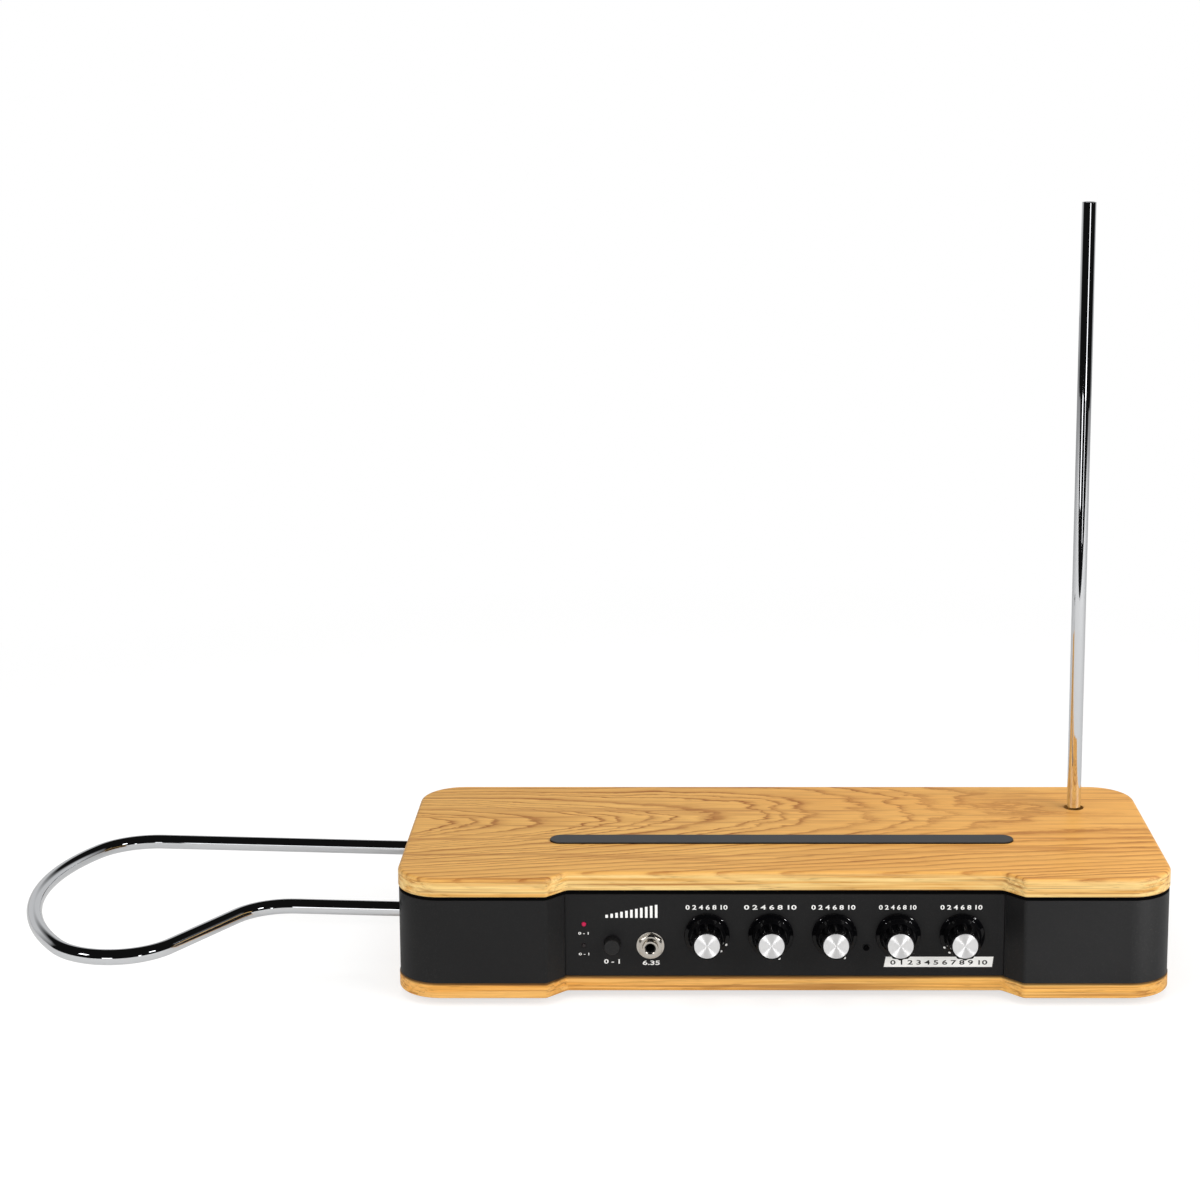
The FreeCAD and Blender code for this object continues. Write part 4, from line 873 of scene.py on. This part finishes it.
def stamp(work, text, left, right, foot, top, toWorld):
    # adds figures to the print; with no right end they keep their shape, centred on left
    mesh = writing(text)
    corners = [vertex.co for vertex in mesh.vertices]
    lowX, highX = min(c.x for c in corners), max(c.x for c in corners)
    lowY, highY = min(c.y for c in corners), max(c.y for c in corners)
    tall = (top - foot) / (highY - lowY)
    wide = (right - left) / (highX - lowX) if right is not None else tall
    start = left if right is not None else left - wide * (highX - lowX) / 2
    piece = bmesh.new()
    piece.from_mesh(mesh)
    for vertex in piece.verts:
        vertex.co = Vector((start + (vertex.co.x - lowX) * wide,
                            foot + (vertex.co.y - lowY) * tall, 0))
    raised(piece)
    piece.transform(toWorld)
    piece.to_mesh(mesh)
    piece.free()
    work.from_mesh(mesh)
    bpy.data.meshes.remove(mesh)


def printedPiece(name, work, finish):
    mesh = bpy.data.meshes.new(name)
    work.to_mesh(mesh)
    work.free()
    mesh.materials.append(finish)
    item = bpy.data.objects.new(name, mesh)
    scene.collection.objects.link(item)
    seated(tidied(item, printLook["sharpAngle"]), "cabinet")


def printed(name, rows, toWorld, finish):
    work = bmesh.new()
    for row in rows:
        stamp(work, *row, toWorld)
    printedPiece(name, work, finish)


def onPanel(level, turn=upright):
    # millimetres on a panel to metres in the room
    return Matrix.Translation((0, level * mm, 0)) @ turn @ facingPlayer @ Matrix.Scale(mm, 4)


def makePrint():
    look, white = printLook, finishes["print_white"]
    front = onPanel(panelFace)
    rows = [(look["knobText"], *span, *look["knobLevels"]) for span in look["knobSpans"]]
    printed("front_panel_figures", rows + look["rows"], front, white)

    bars = look["bars"]
    row = evaluated("front_panel_level_bars", [(0, 0, 0)], [], markRowTree, {
        "Count": bars["count"], "Spacing": bars["spacing"] * mm,
        "Bar Width": bars["width"] * mm, "First Height": bars["first"] * mm,
        "Last Height": bars["last"] * mm, "Thickness": look["thickness"] * mm,
        "Finish": white})
    corner = Vector((bars["left"], panelFace - look["thickness"] / 2, bars["foot"]))
    seated(tidied(row, look["sharpAngle"], Matrix.Translation(corner * mm)), "cabinet")

    strip = bmesh.new()
    strip.faces.new([strip.verts.new((x, z, 0)) for x, z in look["strip"]])
    raised(strip)
    strip.transform(front)
    printedPiece("front_panel_strip", strip, white)
    above = onPanel(panelFace - look["thickness"] * look["stripLevel"])
    printed("front_panel_strip_figures", [look["stripRow"]], above, finishes["print_black"])

    foot, top = look["rearFoot"], look["rearFoot"] + look["rearHeight"]
    rear = [(text, -at, None, foot, top) for text, at in look["rearFigures"].items()]
    behind = onPanel(rearFace, Matrix.Rotation(math.pi, 4, "Z"))
    printed("rear_panel_figures", rear, behind, white)


makePrint()
print("panel figures printed")


# chromed antennas, in millimetres and degrees
antennaLook = {
    "radius": 4.7625, "wall": 0.9, "rim": 0.35, "innerRim": 0.2, "foot": 0.2,
    "pitchPlace": (203.0, 48.0, 37.5), "pitchLength": 457.0, "lip": 60.0,
    "wallX": -247.5, "legY": 58.5, "legZ": 46.0, "inside": 36.0, "tilt": 1.5,
    "rearStraight": 177.7,
    "bends": [(45.2, 61.5), (155.6, 67.2), (41.8, 110.9)],    # radius, degrees
    "lastRadius": 41.1,
    "degreesPerStep": 0.8, "fewestSteps": 4, "closest": 0.05, "sides": 96,
    "sharpAngle": 40,
}


def makePitchAntenna():
    look = antennaLook
    inner, outer, top = look["radius"] - look["wall"], look["radius"], look["pitchLength"]
    foot = look["foot"]
    corners = [(inner, foot, 0), (outer, 0.0, foot), (outer, top, look["rim"]),
               (inner, top, look["innerRim"]), (inner, top - look["lip"], 0),
               (inner, foot, 0)]
    item = turned("pitch_antenna_tube", corners, finishes["chrome_tube"], look["sides"],
                  look["pitchPlace"], upright, look["sharpAngle"])
    seated(item, "pitch_antenna", ["pitch_antenna"])


def loopPoints():
    # the bends, walked from the rear leg's inner end to the front leg's, in the loop's plane
    look = antennaLook
    points = []
    place = Vector((look["wallX"] + look["inside"], look["legY"]))
    heading = math.pi

    def straight(length):
        nonlocal place
        ahead = Vector((math.cos(heading), math.sin(heading)))
        points.append(place.copy())
        place = place + ahead * length
        points.append(place.copy())

    def bend(radius, degrees):
        nonlocal place, heading
        side = 1 if degrees > 0 else -1
        centre = place + Vector((-math.sin(heading), math.cos(heading))) * side * radius
        steps = max(look["fewestSteps"], round(abs(degrees) / look["degreesPerStep"]))
        for k in range(1, steps + 1):
            at = heading - side * math.pi / 2 + math.radians(degrees) * k / steps
            points.append(centre + Vector((math.cos(at), math.sin(at))) * radius)
        place = points[-1].copy()
        heading += math.radians(degrees)

    straight(look["inside"] + look["rearStraight"])
    for radius, degrees in look["bends"]:
        bend(radius, degrees)
    # a straight run and a last bend bring the tube back to the front leg
    back = sum(degrees for radius, degrees in look["bends"]) - 180
    turn = math.radians(back)
    drop = -look["legY"] - place.y - look["lastRadius"] * (1 - math.cos(turn))
    straight(drop / math.sin(turn))
    bend(look["lastRadius"], -back)
    straight(look["wallX"] + look["inside"] - place.x)
    return points


def makeBentTubeTree():
    tree, given, result = newGroup("bentTube", "GeometryNodeTree", {
        "Path": "Geometry", "Tube Radius": 0.0048, "Sides": 48, "Finish": "Material"})
    line = made(tree, "GeometryNodeMeshToCurve", {"Mesh": given["Path"]})
    section = made(tree, "GeometryNodeCurvePrimitiveCircle",
                   {"Resolution": given["Sides"], "Radius": given["Tube Radius"]})
    tube = made(tree, "GeometryNodeCurveToMesh",
                {"Curve": line, "Profile Curve": section, "Fill Caps": True})
    return handOver(tree, result, tube, given["Finish"])


def makeVolumeAntenna():
    look = antennaLook
    points = []
    for point in loopPoints():
        if not points or (point - points[-1]).length > look["closest"]:
            points.append(point)
    drawn = [(p.x * mm, p.y * mm, look["legZ"] * mm) for p in points]
    item = evaluated("volume_antenna_loop", drawn, [(k, k + 1) for k in range(len(drawn) - 1)],
                     makeBentTubeTree(), {"Tube Radius": look["radius"] * mm,
                                          "Sides": look["sides"],
                                          "Finish": finishes["chrome_tube"]})
    pivot = Matrix.Translation((look["wallX"] * mm, 0, look["legZ"] * mm))
    tilt = Matrix.Rotation(math.radians(look["tilt"]), 4, "Y")
    tidied(item, look["sharpAngle"], pivot @ tilt @ pivot.inverted())
    seated(item, "volume_antenna", ["volume_antenna"])


makePitchAntenna()
makeVolumeAntenna()
print("antennas bent")


# black throats and chamfered nuts of the quarter-inch sockets, in millimetres
socketLook = {
    "outputX": [40.0, 5.0],
    "bore": 3.2, "wall": 0.35, "depth": 24.0, "floor": 1.0, "setback": 0.9,
    "lip": 0.1, "innerLip": 0.15, "throatSteps": 48, "throatSharpAngle": 40,
    "flats": 14.5, "nutBore": 4.79, "nutThickness": 2.6, "nutEdge": 0.3, "nutFoot": 0.15,
    "chamferStart": 0.93,     # share of the flats' half width
    "chamfer": 0.56,          # fall of the corner's slope for each millimetre outwards
    "chamferSteps": 8, "nutSteps": 120, "nutSharpAngle": 20,
}


def sockets(ending, frontLevel, rearLevel):
    # name, place, facing and nut of the front socket and of those on the back
    front, rear = middle("phones_jack_nut"), middle("output_jack_nuts")
    found = [("phones_jack_" + ending, (front.x, frontLevel, front.z), facingPlayer,
              "phones_jack_nut")]
    for number, x in enumerate(socketLook["outputX"], 1):
        found.append(("output_jack_%s_%d" % (ending, number), (x, rearLevel, rear.z),
                      facingBack, "output_jack_nuts"))
    return found


def makeThroats():
    look = socketLook
    outer, inner = look["bore"], look["bore"] - look["wall"]
    end, floor = -look["depth"], look["floor"] - look["depth"]
    corners = [(outer, end, 0), (outer, 0, look["lip"]), (inner, 0, look["innerLip"]),
               (inner, floor, 0), (0, floor, 0), (0, end, 0), (outer, end, 0)]
    places = sockets("throat", lowest("phones_jack").y + look["setback"],
                     highest("output_jacks").y - look["setback"])
    for name, place, facing, nut in places:
        throat = turned(name, corners, finishes["component_black"], look["throatSteps"],
                        place, facing, look["throatSharpAngle"])
        seated(throat, "cabinet")


def nutCorners():
    look = socketLook
    corner = look["flats"] / 2 / math.cos(math.pi / 6)
    start, top = look["flats"] / 2 * look["chamferStart"], look["nutThickness"]
    bore, edge, foot = look["nutBore"], look["nutEdge"], look["nutFoot"]
    corners = [(bore, 0, 0), (bore, top - edge, 0), (bore + edge, top, 0)]
    for k in range(look["chamferSteps"] + 1):
        out = (corner - start) * k / look["chamferSteps"]
        corners.append((start + out, top - out * look["chamfer"], 0))
    return corners + [(corner, foot, 0), (corner - foot, 0, 0), (bore, 0, 0)]


def makeNuts():
    look = socketLook
    pointUp = Matrix.Rotation(math.radians(30), 4, "Z")
    places = sockets("hexagon", highest("phones_jack_nut").y, lowest("output_jack_nuts").y)
    for name, place, facing, node in places:
        nut = turned(name, nutCorners(), finishes["nickel"], look["nutSteps"], place,
                     facing @ pointUp, look["nutSharpAngle"], Flats=look["flats"] * mm)
        seated(nut, "cabinet", [node])


makeThroats()
makeNuts()
print("sockets lined")


# the room: floor, lamps and world, in metres
plainWhite = (1.0, 1.0, 1.0)
antennaPieces = ("pitch_antenna_tube", "volume_antenna_loop")
roomLook = {
    "floorX": (-3.0, 3.0), "floorY": (-0.86, 4.0), "floorZ": -5.0 * mm,
    "floorPaint": 0.62,       # as other things see it
    "floorSeen": 0.40, "floorGlow": 0.68,
    "fade": (0.55, 1.1),      # distance over which the seen floor turns to pure white
    "skyDiffuse": 0.42, "skyDark": 0.006, "skyBand": 0.56,
    "bandHeight": (0.34, 0.50, 1.0, 0.0), "bandBehind": (0.2, 0.6),
    # name: (place, looks at, width, height, power, tint, shows in shiny things)
    "lamps": {
        "keyLeft": ((-1.5, -1.15, 1.15), (-0.1, 0.0, 0.05), 1.4, 1.2, 15.0,
                    (1.0, 0.985, 0.96), True),
        "keyRight": ((1.6, -1.05, 1.15), (0.1, 0.0, 0.05), 1.4, 1.2, 20.5,
                     (1.0, 0.99, 0.97), True),
        "lowLeft": ((-0.50, -1.20, 0.12), (0.0, -0.08, 0.05), 0.30, 0.20, 0.34,
                    plainWhite, True),
        "lowRight": ((0.52, -1.15, 0.145), (0.1, -0.05, 0.1), 0.11, 0.29, 0.2,
                     plainWhite, True),
        "overhead": ((0.0, -0.1, 1.7), (0.0, -0.05, 0.0), 1.4, 1.0, 9.6,
                     (1.0, 0.99, 0.97), False),
        "frontFill": ((0.1, -2.2, 0.7), (0.0, 0.0, 0.05), 1.5, 0.8, 8.2,
                      (1.0, 0.99, 0.97), False),
    },
    # name of a lamp above: endings of the pieces that it leaves alone
    "skips": {
        "keyLeft": (*antennaPieces, "_grip", "right_end_wall"),
        "keyRight": (*antennaPieces, "_grip"),
        "overhead": ("top_plate",),
    },
    # small lamps that light only a few pieces
    # name: (place, looks at, width, height, power, endings of the pieces)
    "accents": {
        "glintLeft": ((-1.05, -0.72, 0.86), (0.03, -0.1, 0.04), 0.12, 0.12, 7.0, "_grip"),
        "glintRight": ((1.15, -0.70, 0.80), (0.03, -0.1, 0.04), 0.30, 0.12, 20.0, "_grip"),
        "capLeft": ((-0.92, -1.57, 0.58), (0.03, -0.1, 0.04), 0.34, 0.34, 6.0, "_disc"),
        "capRight": ((0.98, -1.57, 0.58), (0.03, -0.1, 0.04), 0.34, 0.34, 6.0, "_disc"),
        "lineRight": ((0.52, -1.15, 0.39), (0.2, 0.05, 0.4), 0.26, 0.32, 0.42,
                      "pitch_antenna_tube"),
        "wallRight": ((0.95, -0.9, 0.12), (0.2, -0.1, 0.03), 0.5, 0.2, 9.0,
                      "right_end_wall"),
        "topRight": ((0.6, 0.0, 0.78), (0.0, 0.0, 0.08), 0.6, 0.6, 4.1, "top_plate"),
        "sparkLeft": ((-1.5, -1.15, 1.15), (-0.1, 0.0, 0.05), 0.42, 0.36, 1.5,
                      antennaPieces),
        "sparkRight": ((1.6, -1.05, 1.15), (0.1, 0.0, 0.05), 0.42, 0.36, 1.5,
                       antennaPieces),
    },
}


def makeFloor():
    look = roomLook
    (x0, x1), (y0, y1), z = look["floorX"], look["floorY"], look["floorZ"]
    mesh = bpy.data.meshes.new("floor")
    mesh.from_pydata([(x0, y0, z), (x1, y0, z), (x1, y1, z), (x0, y1, z)], [],
                     [(0, 1, 2, 3)])
    floor = bpy.data.objects.new("floor", mesh)
    scene.collection.objects.link(floor)
    material = bpy.data.materials.new("floorWhite")
    tree = emptied(material)
    plain = made(tree, "ShaderNodeBsdfDiffuse", {"Color": grey(look["floorPaint"])})
    soft = made(tree, "ShaderNodeBsdfDiffuse", {"Color": grey(look["floorSeen"])})
    glow = made(tree, "ShaderNodeEmission", {"Color": grey(1), "Strength": look["floorGlow"]})
    both = made(tree, "ShaderNodeAddShader", {0: soft, 1: glow})
    white = made(tree, "ShaderNodeEmission", {"Color": grey(1), "Strength": 1.0})
    place = made(tree, "ShaderNodeTexCoord", out="Object")
    away = made(tree, "ShaderNodeVectorMath", {0: place}, "Value", operation="LENGTH")
    faded = made(tree, "ShaderNodeMixShader",
                 {0: between(away, *look["fade"]), 1: both, 2: white})
    isCamera = made(tree, "ShaderNodeLightPath", out="Is Camera Ray")
    mixed = made(tree, "ShaderNodeMixShader", {0: isCamera, 1: plain, 2: faded})
    put(tree, "ShaderNodeOutputMaterial", {"Surface": mixed})
    mesh.materials.append(material)


def makeLamp(name, place, target, width, height, power):
    data = bpy.data.lights.new(name, "AREA")
    data.shape = "RECTANGLE"
    data.size, data.size_y = width, height
    data.energy = power
    lamp = bpy.data.objects.new(name, data)
    lamp.location = place
    aim = Vector(target) - Vector(place)
    lamp.rotation_euler = aim.to_track_quat("-Z", "Y").to_euler()
    lamp.visible_camera = False
    scene.collection.objects.link(lamp)
    return lamp


def linkedPieces(name, endings):
    # a collection for a lamp's light linking
    group = bpy.data.collections.new(name)
    for item in scene.objects:
        if item.name.endswith(endings):
            group.objects.link(item)
    return group


def makeLamps():
    look = roomLook
    for name, (*shape, tint, shows) in look["lamps"].items():
        lamp = makeLamp(name, *shape)
        lamp.data.color = tint
        lamp.visible_glossy = shows
        if name in look["skips"]:
            skipped = linkedPieces(name + "Skips", look["skips"][name])
            for entry in skipped.collection_objects:
                entry.light_linking.link_state = "EXCLUDE"
            lamp.light_linking.receiver_collection = skipped
    for name, (*shape, endings) in look["accents"].items():
        lamp = makeLamp(name, *shape)
        lamp.light_linking.receiver_collection = linkedPieces(name + "Only", endings)


def makeWorld():
    look = roomLook
    world = bpy.data.worlds.new("studio")
    scene.world = world
    tree = emptied(world)
    world.cycles.sampling_method = "NONE"
    # shiny things see a dark sky with a pale band low behind the object
    x, y, z = apart(made(tree, "ShaderNodeTexCoord", out="Generated"))
    low = between(z, *look["bandHeight"]) * between(y, *look["bandBehind"])
    band = timesPlus(low, look["skyBand"], look["skyDark"])
    path = wires(put(tree, "ShaderNodeLightPath"))
    shiny = calc("MAXIMUM", path["Is Glossy Ray"], path["Is Transmission Ray"])
    seen = blendColour(shiny, grey(look["skyDiffuse"]), greyed(band))
    final = blendColour(path["Is Camera Ray"], seen, grey(1))
    light = made(tree, "ShaderNodeBackground", {"Color": final, "Strength": 1.0})
    put(tree, "ShaderNodeOutputWorld", {"Surface": light})


makeFloor()
makeLamps()
makeWorld()
print("room lit")
